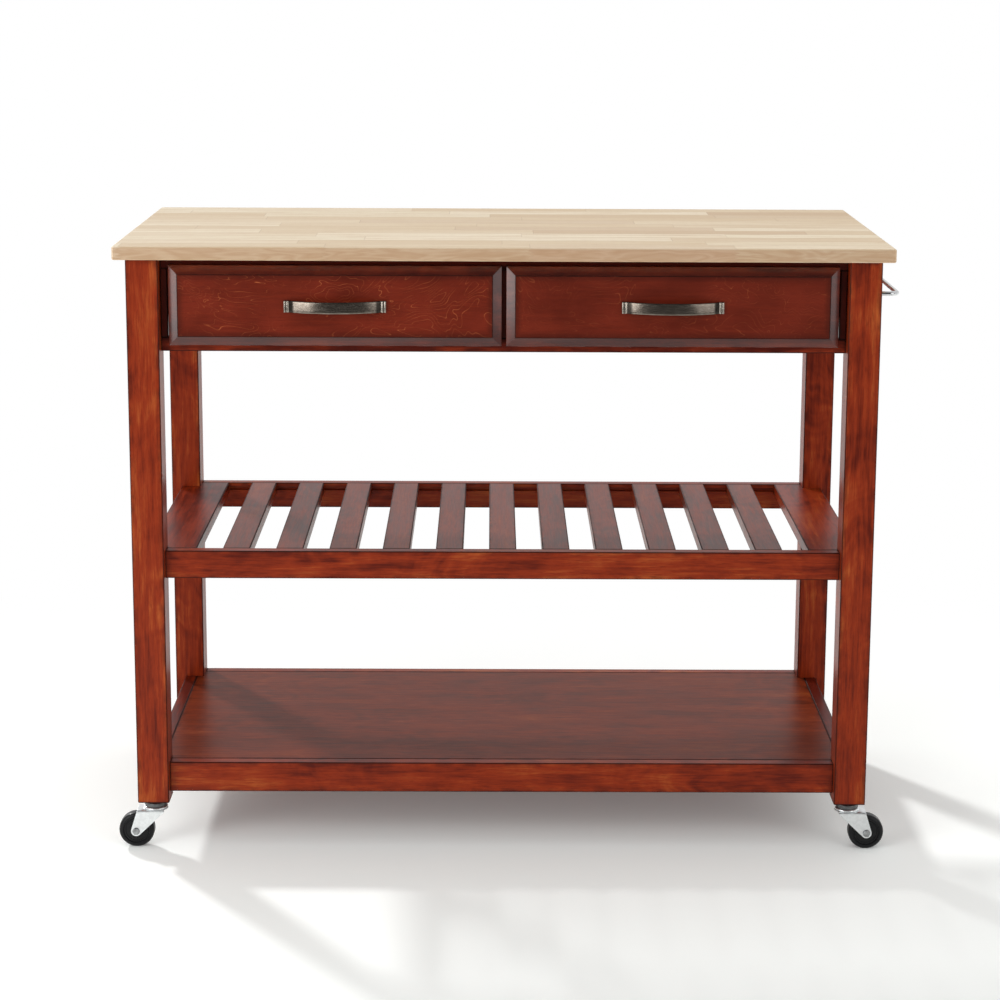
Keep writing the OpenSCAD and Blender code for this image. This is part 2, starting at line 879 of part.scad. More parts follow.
// Wheel: a tread with round shoulders, a dished web and a hub
module caster_wheel(side, end) {
    r = wheel_d / 2;
    half_w = wheel_w / 2;
    shoulder = min(tyre_round, half_w - 1);
    color(BLACK)
        at_caster(side, end)
            translate([trail, 0, axle_z]) rotate([90, 0, 0])
                rotate_extrude()
                    difference() {
                        union() {
                            translate([0, -half_w]) square([r - shoulder, wheel_w]);
                            translate([0, shoulder - half_w])
                                square([r, wheel_w - 2 * shoulder]);
                            for (y = [shoulder - half_w, half_w - shoulder])
                                translate([r - shoulder, y]) circle(r = shoulder);
                            translate([0, -half_w - hub_proud])
                                square([axle_d / 2 + 4.5, wheel_w + 2 * hub_proud]);
                        }
                        for (y = [-half_w - past, half_w - 2])
                            translate([axle_d / 2 + 6.5, y])
                                square([r - shoulder - axle_d / 2 - 8, 2 + past]);
                        translate([-past, -wheel_w])
                            square([axle_d / 2 + run_gap + past, 2 * wheel_w]);
                    }
}

butcher_block_top();
leg_post(LEFT, FRONT);  // leg_front_left
leg_post(RIGHT, FRONT);  // leg_front_right
leg_post(LEFT, BACK);  // leg_back_left
leg_post(RIGHT, BACK);  // leg_back_right
side_apron(LEFT);  // side_apron_left
side_apron(RIGHT);  // side_apron_right
back_apron();
face_rail(rail_over_z, top_under);  // front_top_rail
face_rail(apron_z, rail_under_z);  // front_bottom_rail
face_stile(-leg_in_x, -slide_outer_x);  // front_stile_left
face_stile(slide_outer_x, leg_in_x);  // front_stile_right
face_stile(-partition_t / 2, partition_t / 2);  // front_stile_middle
centre_partition();
slide_supports();
top_cleats();
top_screws();
frame_dowels();
shelf_rail(shelf_front_y, slat_shelf_z, slat_rail_h, slat_t);  // slatted_shelf_front_rail
shelf_rail(apron_in_y, slat_shelf_z, slat_rail_h, slat_t);  // slatted_shelf_back_rail
slatted_shelf_end_boards();
slatted_shelf_slats();
shelf_rail(shelf_front_y, solid_shelf_z, solid_rail_h, panel_t);  // solid_shelf_front_rail
shelf_rail(apron_in_y, solid_shelf_z, solid_rail_h, panel_t);  // solid_shelf_back_rail
solid_shelf_side_rails();
solid_shelf_panel();
towel_bar();
cabinet_slide_channels();
caster_stems();
drawer_front(LEFT);  // left_drawer_front
drawer_cross_board(LEFT, front_back_y);  // left_drawer_inner_front
drawer_sides(LEFT);  // left_drawer_sides
drawer_cross_board(LEFT, box_back_y - box_t);  // left_drawer_back
drawer_bottom(LEFT);  // left_drawer_bottom
drawer_pull(LEFT);  // left_drawer_pull
pull_screws(LEFT);  // left_pull_screws
drawer_slide_channels(LEFT);  // left_drawer_slide_channels
ball_cages(LEFT);  // left_ball_cages
drawer_front(RIGHT);  // right_drawer_front
drawer_cross_board(RIGHT, front_back_y);  // right_drawer_inner_front
drawer_sides(RIGHT);  // right_drawer_sides
drawer_cross_board(RIGHT, box_back_y - box_t);  // right_drawer_back
drawer_bottom(RIGHT);  // right_drawer_bottom
drawer_pull(RIGHT);  // right_drawer_pull
pull_screws(RIGHT);  // right_pull_screws
drawer_slide_channels(RIGHT);  // right_drawer_slide_channels
ball_cages(RIGHT);  // right_ball_cages
caster_fork(LEFT, FRONT);  // caster_fork_front_left
caster_fork(RIGHT, FRONT);  // caster_fork_front_right
caster_fork(LEFT, BACK);  // caster_fork_back_left
caster_fork(RIGHT, BACK);  // caster_fork_back_right
caster_wheel(LEFT, FRONT);  // caster_wheel_front_left
caster_wheel(RIGHT, FRONT);  // caster_wheel_front_right
caster_wheel(LEFT, BACK);  // caster_wheel_back_left
caster_wheel(RIGHT, BACK);  // caster_wheel_back_right
caster_axle(LEFT, FRONT);  // caster_axle_front_left
caster_axle(RIGHT, FRONT);  // caster_axle_front_right
caster_axle(LEFT, BACK);  // caster_axle_back_left
caster_axle(RIGHT, BACK);  // caster_axle_back_right
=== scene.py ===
"""The looks of a rolling kitchen island: butcher block, stained wood, pewter pulls and casters.

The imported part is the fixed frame. Boards keep their own solids and get a finish. Pieces with
rolled, turned, bent or rounded metal and edges are worked out here as surfaces. Metres, +Z up,
and the drawers face -Y.
"""

import math

import bpy
import numpy as np
from bpy.props import FloatProperty, FloatVectorProperty, PointerProperty
from mathutils import Matrix, Vector


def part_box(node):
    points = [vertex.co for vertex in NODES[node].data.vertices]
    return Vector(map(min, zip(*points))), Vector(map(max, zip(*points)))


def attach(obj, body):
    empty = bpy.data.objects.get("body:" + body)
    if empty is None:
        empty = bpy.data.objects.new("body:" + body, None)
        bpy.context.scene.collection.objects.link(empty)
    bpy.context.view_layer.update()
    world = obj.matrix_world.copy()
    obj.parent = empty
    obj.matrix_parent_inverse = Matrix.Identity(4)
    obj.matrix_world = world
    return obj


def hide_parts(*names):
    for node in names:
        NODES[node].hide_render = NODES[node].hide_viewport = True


bl_info = {
    "name": "Rolling kitchen island",
    "version": (1, 0, 0),
    "blender": (4, 5, 0),
    "location": "View3D > Sidebar > Island",
    "description": "Finishes a rolling kitchen island and sets its studio",
    "category": "Object",
}

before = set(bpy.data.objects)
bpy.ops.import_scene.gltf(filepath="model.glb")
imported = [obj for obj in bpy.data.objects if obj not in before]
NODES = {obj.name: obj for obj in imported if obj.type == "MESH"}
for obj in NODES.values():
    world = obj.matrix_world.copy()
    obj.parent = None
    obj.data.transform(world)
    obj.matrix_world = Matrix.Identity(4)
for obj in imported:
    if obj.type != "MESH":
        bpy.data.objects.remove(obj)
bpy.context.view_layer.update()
CORNERS = ("front_left", "front_right", "back_left", "back_right")
SIDES = ("left", "right")
UP = np.array([0.0, 0.0, 1.0])


# ---------------------------------------------------------------- settings


def length(name, description, default):
    """A size in metres."""
    return FloatProperty(
        name=name, description=description, default=default, min=0.0001, max=2.0,
        precision=4, unit="LENGTH", subtype="DISTANCE",
    )


def colour(name, description, default):
    """A colour, written as linear red, green and blue."""
    return FloatVectorProperty(
        name=name, description=description, default=default, size=3, min=0.0, max=1.0,
        subtype="COLOR",
    )


def share(name, description, default, high=1.0):
    """A plain number from 0 up."""
    return FloatProperty(
        name=name, description=description, default=default, min=0.0, max=high,
    )


def angle(name, description, default):
    """An angle, written in degrees."""
    return FloatProperty(
        name=name, description=description, default=math.radians(default),
        unit="ROTATION", subtype="ANGLE",
    )


class BlockTopSettings(bpy.types.PropertyGroup):
    """Edges, sticks and colours of the slab."""

    arris: length("Arris", "Radius of the rounding along the slab's edges", 0.0022)
    corner: length("Corner", "Radius of the slab's upright corners", 0.004)
    stave: length("Stave", "Width of a stave", 0.0423)
    stick: length("Stick", "Mean length of the sticks that make a stave", 0.33)
    pale: colour("Pale stick", "Lightest sticks", (0.805, 0.690, 0.520))
    straw: colour("Straw stick", "Yellower sticks", (0.795, 0.690, 0.515))
    ruddy: colour("Ruddy side", "Pinker sticks on the slab's sides", (0.640, 0.385, 0.245))
    warm: colour("Warm stick", "Most sticks", (0.635, 0.475, 0.298))
    brown: colour("Brown stick", "A few darker sticks", (0.470, 0.275, 0.140))
    glue: colour("Glue line", "Joints between sticks", (0.300, 0.170, 0.090))


class StainSettings(bpy.types.PropertyGroup):
    """Colours and gloss of the stained boards."""

    dark: colour("Dark grain", "Stain where the grain soaks it up", (0.085, 0.0075, 0.0028))
    middle: colour("Stain", "Most of the stained wood", (0.242, 0.0255, 0.0050))
    light: colour("Light grain", "Stain over hard, pale grain", (0.460, 0.1080, 0.0220))
    # Dark glaze on edges, also laid as painted shade over the drawer fronts' bevels and steps
    # and the right front.
    glaze_and_shade: colour("Glaze", "Dark glaze left along edges", (0.022, 0.0045, 0.0030))
    veneer: colour("Veneer", "Field of the drawer fronts", (0.140, 0.0150, 0.0055))
    figure: colour("Figure", "Thin figure lines in the veneer", (0.480, 0.1300, 0.0420))
    panel: colour("Panel", "Even brown of the solid shelf's panel", (0.115, 0.0250, 0.0085))
    tongue: length("Tongue", "How far the shelf boards reach into their rails", 0.0058)
    sheen: share("Sheen", "Strength of the lacquer's reflections", 0.13)


class DrawerSettings(bpy.types.PropertyGroup):
    """Edges of the drawer fronts, and the wood of the boxes."""

    bevel: length("Bevel", "Width of the bevel round a drawer front", 0.0125)
    bevel_depth: length("Bevel depth", "Depth of the bevel at its outer edge", 0.005)
    step: length("Step", "Step from the bevel up to the field", 0.0008)
    round: length("Rounding", "Radius of a drawer front's edges", 0.0009)
    inside: colour("Inside wood", "Unstained wood of the drawer boxes", (0.560, 0.380, 0.205))


class PullSettings(bpy.types.PropertyGroup):
    """Sizes and metal of the pulls."""

    pitch: length("Pitch", "Distance between the screws", 0.128)
    strap: length("Strap", "Thickness of the strap", 0.0034)
    crown: length("Crown", "Rise of the strap's long curve", 0.0130)
    foot: length("Foot", "Thickness of a foot", 0.004)
    bead: length("Bead", "Radius of the beads on the feet", 0.0015)
    pewter: colour("Pewter", "Dark metal in the hollows", (0.105, 0.080, 0.062))
    worn: colour("Worn pewter", "Metal that shows on the edges", (0.620, 0.555, 0.480))


class CasterSettings(bpy.types.PropertyGroup):
    """Sizes, plating and rubber of the casters."""

    metal: length("Metal", "Thickness of the fork's steel", 0.002)
    boss: length("Boss", "Radius of the fork's end round the axle", 0.0075)
    nose: length("Nose", "How far the fork starts behind the swivel's edge", 0.003)
    head: length("Swivel head", "Radius of the swivel's upper cup", 0.016)
    race: length("Race", "Height of the raceway ring", 0.0043)
    stem: length("Stem", "Radius of the stem in the leg", 0.0055)
    kingpin: length("Kingpin", "Radius of the kingpin", 0.004)
    axle: length("Axle", "Radius of the axle", 0.003)
    zinc: colour("Zinc", "Bright zinc plate", (0.880, 0.905, 0.915))
    tyre: colour("Tyre", "Black wheel", (0.0070, 0.0070, 0.0080))


class BarSettings(bpy.types.PropertyGroup):
    """Bends and plating of the towel bar."""

    bend: length("Bend", "Radius of the bar's bends", 0.012)
    chrome: colour("Chrome", "Polished bar and slides", (0.720, 0.725, 0.735))


class StageSettings(bpy.types.PropertyGroup):
    """Camera, lights, surroundings and floor."""

    camera: FloatVectorProperty(
        name="Camera", description="Place of the camera", subtype="TRANSLATION",
        unit="LENGTH", default=(-0.0178822, -3.4985158, 1.2829035),
    )
    pitch: angle("Pitch", "How far the camera looks down", 10.49699)
    yaw: angle("Yaw", "How far the camera turns to the left", -0.22558)
    roll: angle("Roll", "How far the camera leans", 0.25116)
    lens: FloatProperty(
        name="Lens", description="Focal length in millimetres", default=85.581, min=20,
    )
    shift: FloatProperty(name="Shift", description="Upward lens shift", default=-0.11)
    sun: share("Sun", "Strength of the light from behind on the left", 1.75, 20)
    sun_size: angle("Sun size", "Angle that the back light fills", 5.0)
    left_box: share("Left box", "Power of the soft box on the left", 28.0, 500)
    right_box: share("Right box", "Power of the soft box on the right", 11.0, 500)
    room: share("Room", "Strength of the light from all round", 0.655, 5)
    front: share("Front", "What polished pieces mirror from behind the camera", 0.05)
    back: share("Back", "What polished pieces mirror from the white backdrop", 0.80)
    floor: colour("Floor", "Paint of the floor", (0.970, 0.990, 0.968))
    lift: share("Floor lift", "Light of its own that the floor shows the camera", 0.09)


SETTINGS = {
    "island_top": BlockTopSettings,
    "island_stain": StainSettings,
    "island_drawer": DrawerSettings,
    "island_pull": PullSettings,
    "island_caster": CasterSettings,
    "island_bar": BarSettings,
    "island_stage": StageSettings,
}


# ---------------------------------------------------------------- shader maths


class Wire:
    """An output of a shader node. Arithmetic with wires and numbers adds Math nodes."""

    def __init__(self, graph, socket):
        self.graph = graph
        self.socket = socket

    def math(self, operation, *values):
        """A Math node of the operation, fed with wires and numbers."""
        return self.graph.node("ShaderNodeMath", dict(enumerate(values)), operation=operation)

    def __add__(self, other):
        return self.math("ADD", self, other)

    __radd__ = __add__

    def __sub__(self, other):
        return self.math("SUBTRACT", self, other)

    def __rsub__(self, other):
        return self.math("SUBTRACT", other, self)

    def __mul__(self, other):
        return self.math("MULTIPLY", self, other)

    __rmul__ = __mul__

    def __truediv__(self, other):
        return self.math("DIVIDE", self, other)

    def __rtruediv__(self, other):
        return self.math("DIVIDE", other, self)

    def __pow__(self, other):
        return self.math("POWER", self, other)

    def __abs__(self):
        return self.math("ABSOLUTE", self)

    def floor(self):
        return self.math("FLOOR", self)

    def fraction(self):
        return self.math("FRACT", self)

    def least(self, other):
        """The lesser of two values at each point."""
        return self.math("MINIMUM", self, other)

    def most(self, other):
        """The greater of two values at each point."""
        return self.math("MAXIMUM", self, other)

    def wave(self):
        """A triangle wave from 0 to 1 and back with a period of 1."""
        return self.math("PINGPONG", self, 0.5) * 2

    def rises(self, low, high):
        """0 below low, 1 above high, and smooth between them. High may be the lesser."""
        return self.graph.node(
            "ShaderNodeMapRange",
            {"Value": self, "From Min": low, "From Max": high},
            interpolation_type="SMOOTHSTEP",
        )


class Graph:
    """A node tree that is given, such as the world's, or the tree of a new material."""

    def __init__(self, name=None, tree=None):
        if tree is None:
            self.material = bpy.data.materials.new(name)
            self.material.use_nodes = True
            tree = self.material.node_tree
            self.shader = tree.nodes["Principled BSDF"]
        self.tree = tree

    def node(self, kind, values=None, out=0, **settings):
        """Makes any node: first its settings, then the values or wires of its sockets."""
        made = self.tree.nodes.new(kind)
        for name, value in settings.items():
            setattr(made, name, value)
        for socket, value in (values or {}).items():
            self.feed(made.inputs[socket], value)
        return Wire(self, made.outputs[out])

    def feed(self, socket, value):
        """Links a wire to a socket, or sets the socket to a plain value."""
        if isinstance(value, Wire):
            self.tree.links.new(value.socket, socket)
        elif socket.type == "RGBA" and len(tuple(value)) == 3:
            socket.default_value = (*value, 1.0)
        else:
            socket.default_value = value

    def place(self):
        """The three object coordinates of a point, in metres."""
        at = self.node("ShaderNodeTexCoord", out="Object")
        return [self.node("ShaderNodeSeparateXYZ", {0: at}, out=axis) for axis in range(3)]

    def vector(self, x, y, z):
        """Three values as one vector."""
        return self.node("ShaderNodeCombineXYZ", {0: x, 1: y, 2: z})

    def noise(self, x, y, z, detail=2.0, roughness=0.5, distortion=0.0):
        """Smooth noise about 0.5, one cell to a unit of each coordinate."""
        return self.node(
            "ShaderNodeTexNoise",
            {
                "Vector": self.vector(x, y, z), "Scale": 1.0, "Detail": detail,
                "Roughness": roughness, "Distortion": distortion,
            },
            out="Fac",
        )

    def grain(self, at, along, across, **noise):
        """Noise drawn out along the first of three wires: cells to a metre along and across."""
        run, side, depth = at
        return self.noise(run * along, side * across, depth * across, **noise)

    def chance(self, x, y, z=0.0):
        """A number from 0 to 1 that is the same all over one cell."""
        return self.node(
            "ShaderNodeTexWhiteNoise", {"Vector": self.vector(x, y, z)}, out="Value"
        )

    def mix(self, share_b, a, b):
        """Colour a, with its share of colour b laid over it."""
        return self.node("ShaderNodeMix", {0: share_b, 6: a, 7: b}, out=2, data_type="RGBA")

    def bump(self, height, distance, strength):
        """A normal tilted by a height, where a height of 1 stands out by the distance."""
        return self.node(
            "ShaderNodeBump",
            {"Height": height, "Distance": distance, "Strength": strength},
        )

    def finish(self, **sockets):
        """Feeds the shader's sockets, named with _ for a blank, and gives the material."""
        for name, value in sockets.items():
            title = name.replace("_", " ").title().replace("Ior", "IOR")
            self.feed(self.shader.inputs[title], value)
        return self.material


# ---------------------------------------------------------------- surfaces

# Cells to a metre: points that fall in one cell are merged.
WELD_CELLS = 2e7


def quads(rows, columns, wrap_rows, wrap_columns):
    """Corner numbers of the quads of a grid whose points are counted row by row."""
    r = np.arange(rows if wrap_rows else rows - 1)[:, None]
    c = np.arange(columns if wrap_columns else columns - 1)[None, :]
    r1, c1 = (r + 1) % rows, (c + 1) % columns
    corners = [r * columns + c, r1 * columns + c, r1 * columns + c1, r * columns + c1]
    return np.stack([np.broadcast_to(k, corners[0].shape).ravel() for k in corners], 1)


def shell(points, wrap_rows=False, wrap_columns=True, caps=True):
    """A grid of points as (points, faces), with its first and last rows filled if asked.

    The faces are turned outwards by the sign of the volume they hold.
    """
    rows, columns = points.shape[:2]
    at = points.reshape(-1, 3)
    faces = quads(rows, columns, wrap_rows, wrap_columns)
    a, b, c, d = (at[faces[:, k]] for k in range(4))
    volume = (np.cross(b - a, c - a) * a).sum() + (np.cross(c - a, d - a) * a).sum()
    ends = []
    if caps and not wrap_rows:
        ends = [np.arange(columns)[::-1], np.arange(columns) + (rows - 1) * columns]
        for end in ends:
            p = at[end]
            volume += (np.cross(p[1:-1] - p[0], p[2:] - p[0]) * p[0]).sum()
    step = 1 if volume > 0 else -1
    return at, [f[::step].tolist() for f in faces] + [e[::step].tolist() for e in ends]


def make_piece(name, shells, body, material, replaces=(), sharp=35.0):
    """One object from several shells. Doubled points are merged, so poles are closed."""
    points, faces, start = [], [], 0
    for at, corners in shells:
        points.append(at)
        faces += [[k + start for k in face] for face in corners]
        start += len(at)
    points = np.concatenate(points)
    key = np.round(points * WELD_CELLS).astype(np.int64)
    _, first, same = np.unique(key, axis=0, return_index=True, return_inverse=True)
    same = same.ravel()
    clean = []
    for face in faces:
        turned = [int(same[k]) for k in face]
        kept = [k for i, k in enumerate(turned) if k != turned[i - 1]]
        if len(set(kept)) > 2:
            clean.append(kept)
    mesh = bpy.data.meshes.new(name)
    mesh.from_pydata(points[first].tolist(), [], clean)
    mesh.update()
    mesh.polygons.foreach_set("use_smooth", np.ones(len(mesh.polygons), bool))
    mesh.set_sharp_from_angle(angle=math.radians(sharp))
    mesh.materials.append(material)
    piece = bpy.data.objects.new(name, mesh)
    bpy.context.scene.collection.objects.link(piece)
    if replaces:
        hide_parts(*replaces)
    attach(piece, body)
    return piece


def outward(outline):
    """Unit normals of a closed outline, turned away from its inside."""
    along = np.roll(outline, -1, 0) - np.roll(outline, 1, 0)
    across = np.stack([along[:, 1], -along[:, 0]], 1)
    across /= np.linalg.norm(across, axis=1, keepdims=True)
    x, y = outline.T
    area = (x * np.roll(y, -1) - y * np.roll(x, -1)).sum()
    return across * np.sign(area)


def stack(outline, levels, inset, normals=None):
    """Copies of an outline, each drawn in by its inset, stood at its own level.

    Point (i, j) is outline j minus its normal times inset i, at height level i.
    """
    normals = outward(outline) if normals is None else normals
    flat = outline[None] - normals[None] * np.asarray(inset)[:, None, None]
    height = np.broadcast_to(np.asarray(levels)[:, None, None], flat.shape[:2] + (1,))
    return np.concatenate([flat, height], 2)


def rounded_rim(low, high, radius, steps=6):
    """Levels and insets of a rim that turns through a quarter circle at each face."""
    turn = np.linspace(0, math.pi / 2, steps)
    inset = radius * (1 - np.sin(turn))
    rise = radius * (1 - np.cos(turn))
    return (
        np.concatenate([low + rise, high - rise[::-1]]),
        np.concatenate([inset, inset[::-1]]),
    )


def rounded_rectangle(low, high, radius, steps=8):
    """An outline of four quarter circles joined by straight sides."""
    turn = np.linspace(0, math.pi / 2, steps)
    parts = []
    for k, (x, y) in enumerate(
        [(high[0], high[1]), (low[0], high[1]), (low[0], low[1]), (high[0], low[1])]
    ):
        cx = x - radius if x == high[0] else x + radius
        cy = y - radius if y == high[1] else y + radius
        a = turn + k * math.pi / 2
        parts.append(np.stack([cx + radius * np.cos(a), cy + radius * np.sin(a)], 1))
    return np.concatenate(parts)


def turned(profile, centre, axis, steps=48, wrap=False):
    """A profile of (radius, height) points turned about an axis through a centre."""
    radius, height = np.asarray(profile, float).T
    turn = np.linspace(0, 2 * math.pi, steps, endpoint=False)
    x = radius[:, None] * np.cos(turn)
    y = radius[:, None] * np.sin(turn)
    z = np.broadcast_to(height[:, None], x.shape)
    order = {"x": (z, x, y), "y": (y, z, x), "z": (x, y, z)}[axis]
    return shell(np.stack(order, 2) + np.asarray(centre), wrap_rows=wrap, caps=not wrap)


def swept(path, section, up):
    """A closed section carried along a path.

    Section point (a, b) stands at the path's point plus a times the side direction plus b
    times up. The side direction is square to the path and to up.
    """
    along = np.gradient(path, axis=0)
    along /= np.linalg.norm(along, axis=1, keepdims=True)
    side = np.cross(along, up)
    side /= np.linalg.norm(side, axis=1, keepdims=True)
    top = np.cross(side, along)
    points = (
        path[:, None]
        + side[:, None] * section[None, :, :1]
        + top[:, None] * section[None, :, 1:]
    )
    return shell(points)


def superellipse(half_a, half_b, power, steps=32):
    """An outline where (a / half_a)^power + (b / half_b)^power is 1."""
    turn = np.linspace(0, 2 * math.pi, steps, endpoint=False)
    c, s = np.cos(turn), np.sin(turn)
    return np.stack(
        [
            half_a * np.sign(c) * np.abs(c) ** (2 / power),
            half_b * np.sign(s) * np.abs(s) ** (2 / power),
        ],
        1,
    )


def arc(centre, radius, start, end, steps=8):
    """Points of an arc from one angle to another, in degrees."""
    turn = np.radians(np.linspace(start, end, steps))
    return [(centre[0] + radius * math.cos(a), centre[1] + radius * math.sin(a)) for a in turn]


# ---------------------------------------------------------------- finishes

# How far in from a board's edge its stain is rubbed dark, softly and then sharply.
WIDE_RUB = 0.0090
THIN_RUB = 0.0023


def box_of(node):
    """Lowest and highest corners of a node, as arrays."""
    low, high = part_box(node)
    return np.array(low), np.array(high)


def scaled(tint, share_left):
    """A colour with each of its parts multiplied by a share."""
    return tuple(c * share_left for c in tint)


def board_axes(at, axis):
    """The coordinate that runs along a board's grain, and the two across it."""
    across = list(at)
    along = across.pop("xyz".index(axis))
    return along, *across


def lifted_edges(at, low, high, width):
    """1 along the edges of a box and 0 away from them.

    On a face of the box one of the three distances to its sides is 0, so the middle one of
    the three is the distance to the nearest edge.
    """
    mid, half = (low + high) / 2, (high - low) / 2
    x, y, z = (half[k] - abs(at[k] - mid[k]) for k in range(3))
    middle = x.least(y).most(x.most(y).least(z))
    return middle.rises(width, 0.0)


def stained_wood(
    name, axis, low, high, seed, tone=0.0, edges=True, repeat=None, bevel=None, figure=0.0,
    calm=0.0, shine=1.0,
):
    """Reddish stain and clear lacquer over wood whose grain runs along an axis.

    The grain is solid: growth rings round a far pith, streaks drawn out along the grain, soft
    curls across it and short dark pores. Tone darkens the stain as painted shade, and calm
    draws it towards the even brown of a veneered panel; on a drawer front calm draws it
    towards the dark glaze colour instead, as painted shade. Repeat is the width and the count
    of equal boards in a row along X, and gives each of them its own wood and edges. Bevel is
    the width of a drawer front's bevel: inside it lies a veneer with thin wandering figure
    lines, the bevel itself is painted darker as shade, and dark glaze with painted shade fills
    the step round it. Noises are called by cells to a metre along and across.
    """
    s = bpy.context.scene.island_stain
    g = Graph(name)
    at = g.place()
    along, across, depth = board_axes(at, axis)
    along = along + seed * 3.71
    across = across + seed * 1.93
    depth = depth + seed * 0.77
    shade, place = tone, list(at)
    if repeat:
        width, count = repeat
        pitch = (high[0] - low[0] - width) / (count - 1)
        turn = (at[0] - (low[0] - (pitch - width) / 2)) / pitch
        board = g.chance(turn.floor(), seed)
        along = along + board * 9.0
        shade = (board - 0.5) * 0.24 + tone
        place[0] = (turn.fraction() - 0.5) * pitch
        low[0], high[0] = -width / 2, width / 2
    wood = (along, across, depth)
    sway = g.grain(wood, 4.0, 14.0) - 0.5
    ring_a = across + 0.11 + sway * 0.060
    ring_b = depth + 0.16 + sway * 0.045
    rings = (((ring_a * ring_a + ring_b * ring_b) ** 0.5) * 92.0).wave()
    flow = g.grain(wood, 3.4, 26.0, detail=4.0, roughness=0.58)
    streak = g.grain(wood, 11.0, 170.0, detail=4.0, roughness=0.62)
    pore = g.grain(wood, 75.0, 1300.0, detail=1.0)
    curl = g.noise(along * 42.0 + sway * 9.0, across * 15.0, depth * 15.0, detail=2.5)
    patch = g.grain(wood, 5.0, 9.0, detail=1.0).rises(0.42, 0.68)
    cloud = g.grain(wood, 13.0, 24.0, detail=3.0)
    fine = g.grain(wood, 26.0, 430.0, detail=3.0, roughness=0.6)
    grain = (
        flow * 0.95 + streak * 0.52 + fine * 0.46 + rings * 0.10 + cloud * 0.50
        + (curl - 0.5) * (patch * 0.60 + 0.16) - 0.78 - shade
    )
    base = g.mix(grain.rises(0.08, 0.52), s.dark, s.middle)
    base = g.mix(grain.rises(0.44, 0.96) * 0.9, base, s.light)
    rough = streak * 0.12 + 0.23 + cloud * 0.07
    lacquer = 0.0
    if bevel:
        veneer = g.mix(cloud.rises(0.2, 0.8), scaled(s.veneer, 0.72), scaled(s.veneer, 1.22))
        veneer = g.mix(streak.rises(0.45, 0.75) * 0.25, veneer, s.middle)
        veneer = g.mix(figure_lines(g, at, seed) * figure, veneer, s.figure)
        base, lacquer = raised_field(g, at, low, high, bevel, base, veneer)
    # On a drawer front, calm is painted shade: it draws the stain towards the glaze colour.
    if calm:
        even = s.glaze_and_shade if bevel else s.panel
        mottle = (fine * 0.55 + streak * 0.45).rises(0.36, 0.64)
        even = g.mix(mottle, scaled(even, 0.66), scaled(even, 1.38))
        base = g.mix(calm, base, even)
    base = g.mix(pore.rises(0.56, 0.70) * 0.40, base, s.dark)
    if edges:
        rub = g.grain(at, 45.0, 45.0, detail=3.0)
        wide = lifted_edges(place, low, high, WIDE_RUB) * rub.rises(0.38, 0.70) * 0.62
        thin = lifted_edges(place, low, high, THIN_RUB) * 1.9 * (0.45 + rub * 0.6)
        thin = thin.least(0.92)
        base = g.mix(thin.most(wide), base, s.glaze_and_shade)
        rough = rough + thin * 0.35
    return g.finish(
        base_color=base, roughness=rough, specular_ior_level=s.sheen * shine,
        coat_weight=lacquer, coat_roughness=0.12,
        normal=g.bump(streak * 0.3 + pore * 0.7, 0.00016, 0.5),
    )


def raised_field(g, at, low, high, bevel, wood, veneer):
    """Veneer on a drawer front's field, its bevel painted darker as shade, and how far that
    shines.

    Inside is the distance in from the bevel's inner edge, so it is 0 all along the step,
    where dark glaze gathers together with a painted shade of the step.
    """
    glaze_and_shade = bpy.context.scene.island_stain.glaze_and_shade
    mid, half = (low + high) / 2, (high - low) / 2
    inside = (half[0] - bevel - abs(at[0] - mid[0])).least(
        half[2] - bevel - abs(at[2] - mid[2])
    )
    field = inside.rises(-0.0004, 0.0004)
    # The bevel's wood is drawn half way to the glaze colour: painted shade on the bevel.
    base = g.mix(field, g.mix(0.52, wood, glaze_and_shade), veneer)
    # A dark line along the step, fading out over a centimetre on either side: glaze, with
    # painted shade of the step.
    halo = abs(inside - 0.0004)
    step = halo.rises(0.0013, 0.0003) * 0.92
    base = g.mix(step.most(halo.rises(0.0110, 0.0008) * 0.46), base, glaze_and_shade)
    face = (low[1] + bevel * 0.55 - at[1]).rises(0.0, 0.0006)
    return base, (1.0 - field) * face


def figure_lines(g, at, seed):
    """Contour lines of a wandering noise, broken into runs and gathered in patches."""
    field = g.noise(
        at[0] * 8.0 + seed, at[1] * 8.0, at[2] * 11.0, detail=3.2, roughness=0.52,
        distortion=0.7,
    )
    crisp = abs((field * 17.0).wave() - 0.5).rises(0.048, 0.0)
    broken = g.noise(at[0] * 38.0 + seed, at[1] * 38.0, at[2] * 38.0, detail=2.0)
    patch = g.noise(at[0] * 8.0 + seed * 2.0, at[1] * 8.0, at[2] * 12.0, detail=2.0)
    return crisp * broken.rises(0.34, 0.58) * patch.rises(0.32, 0.56)


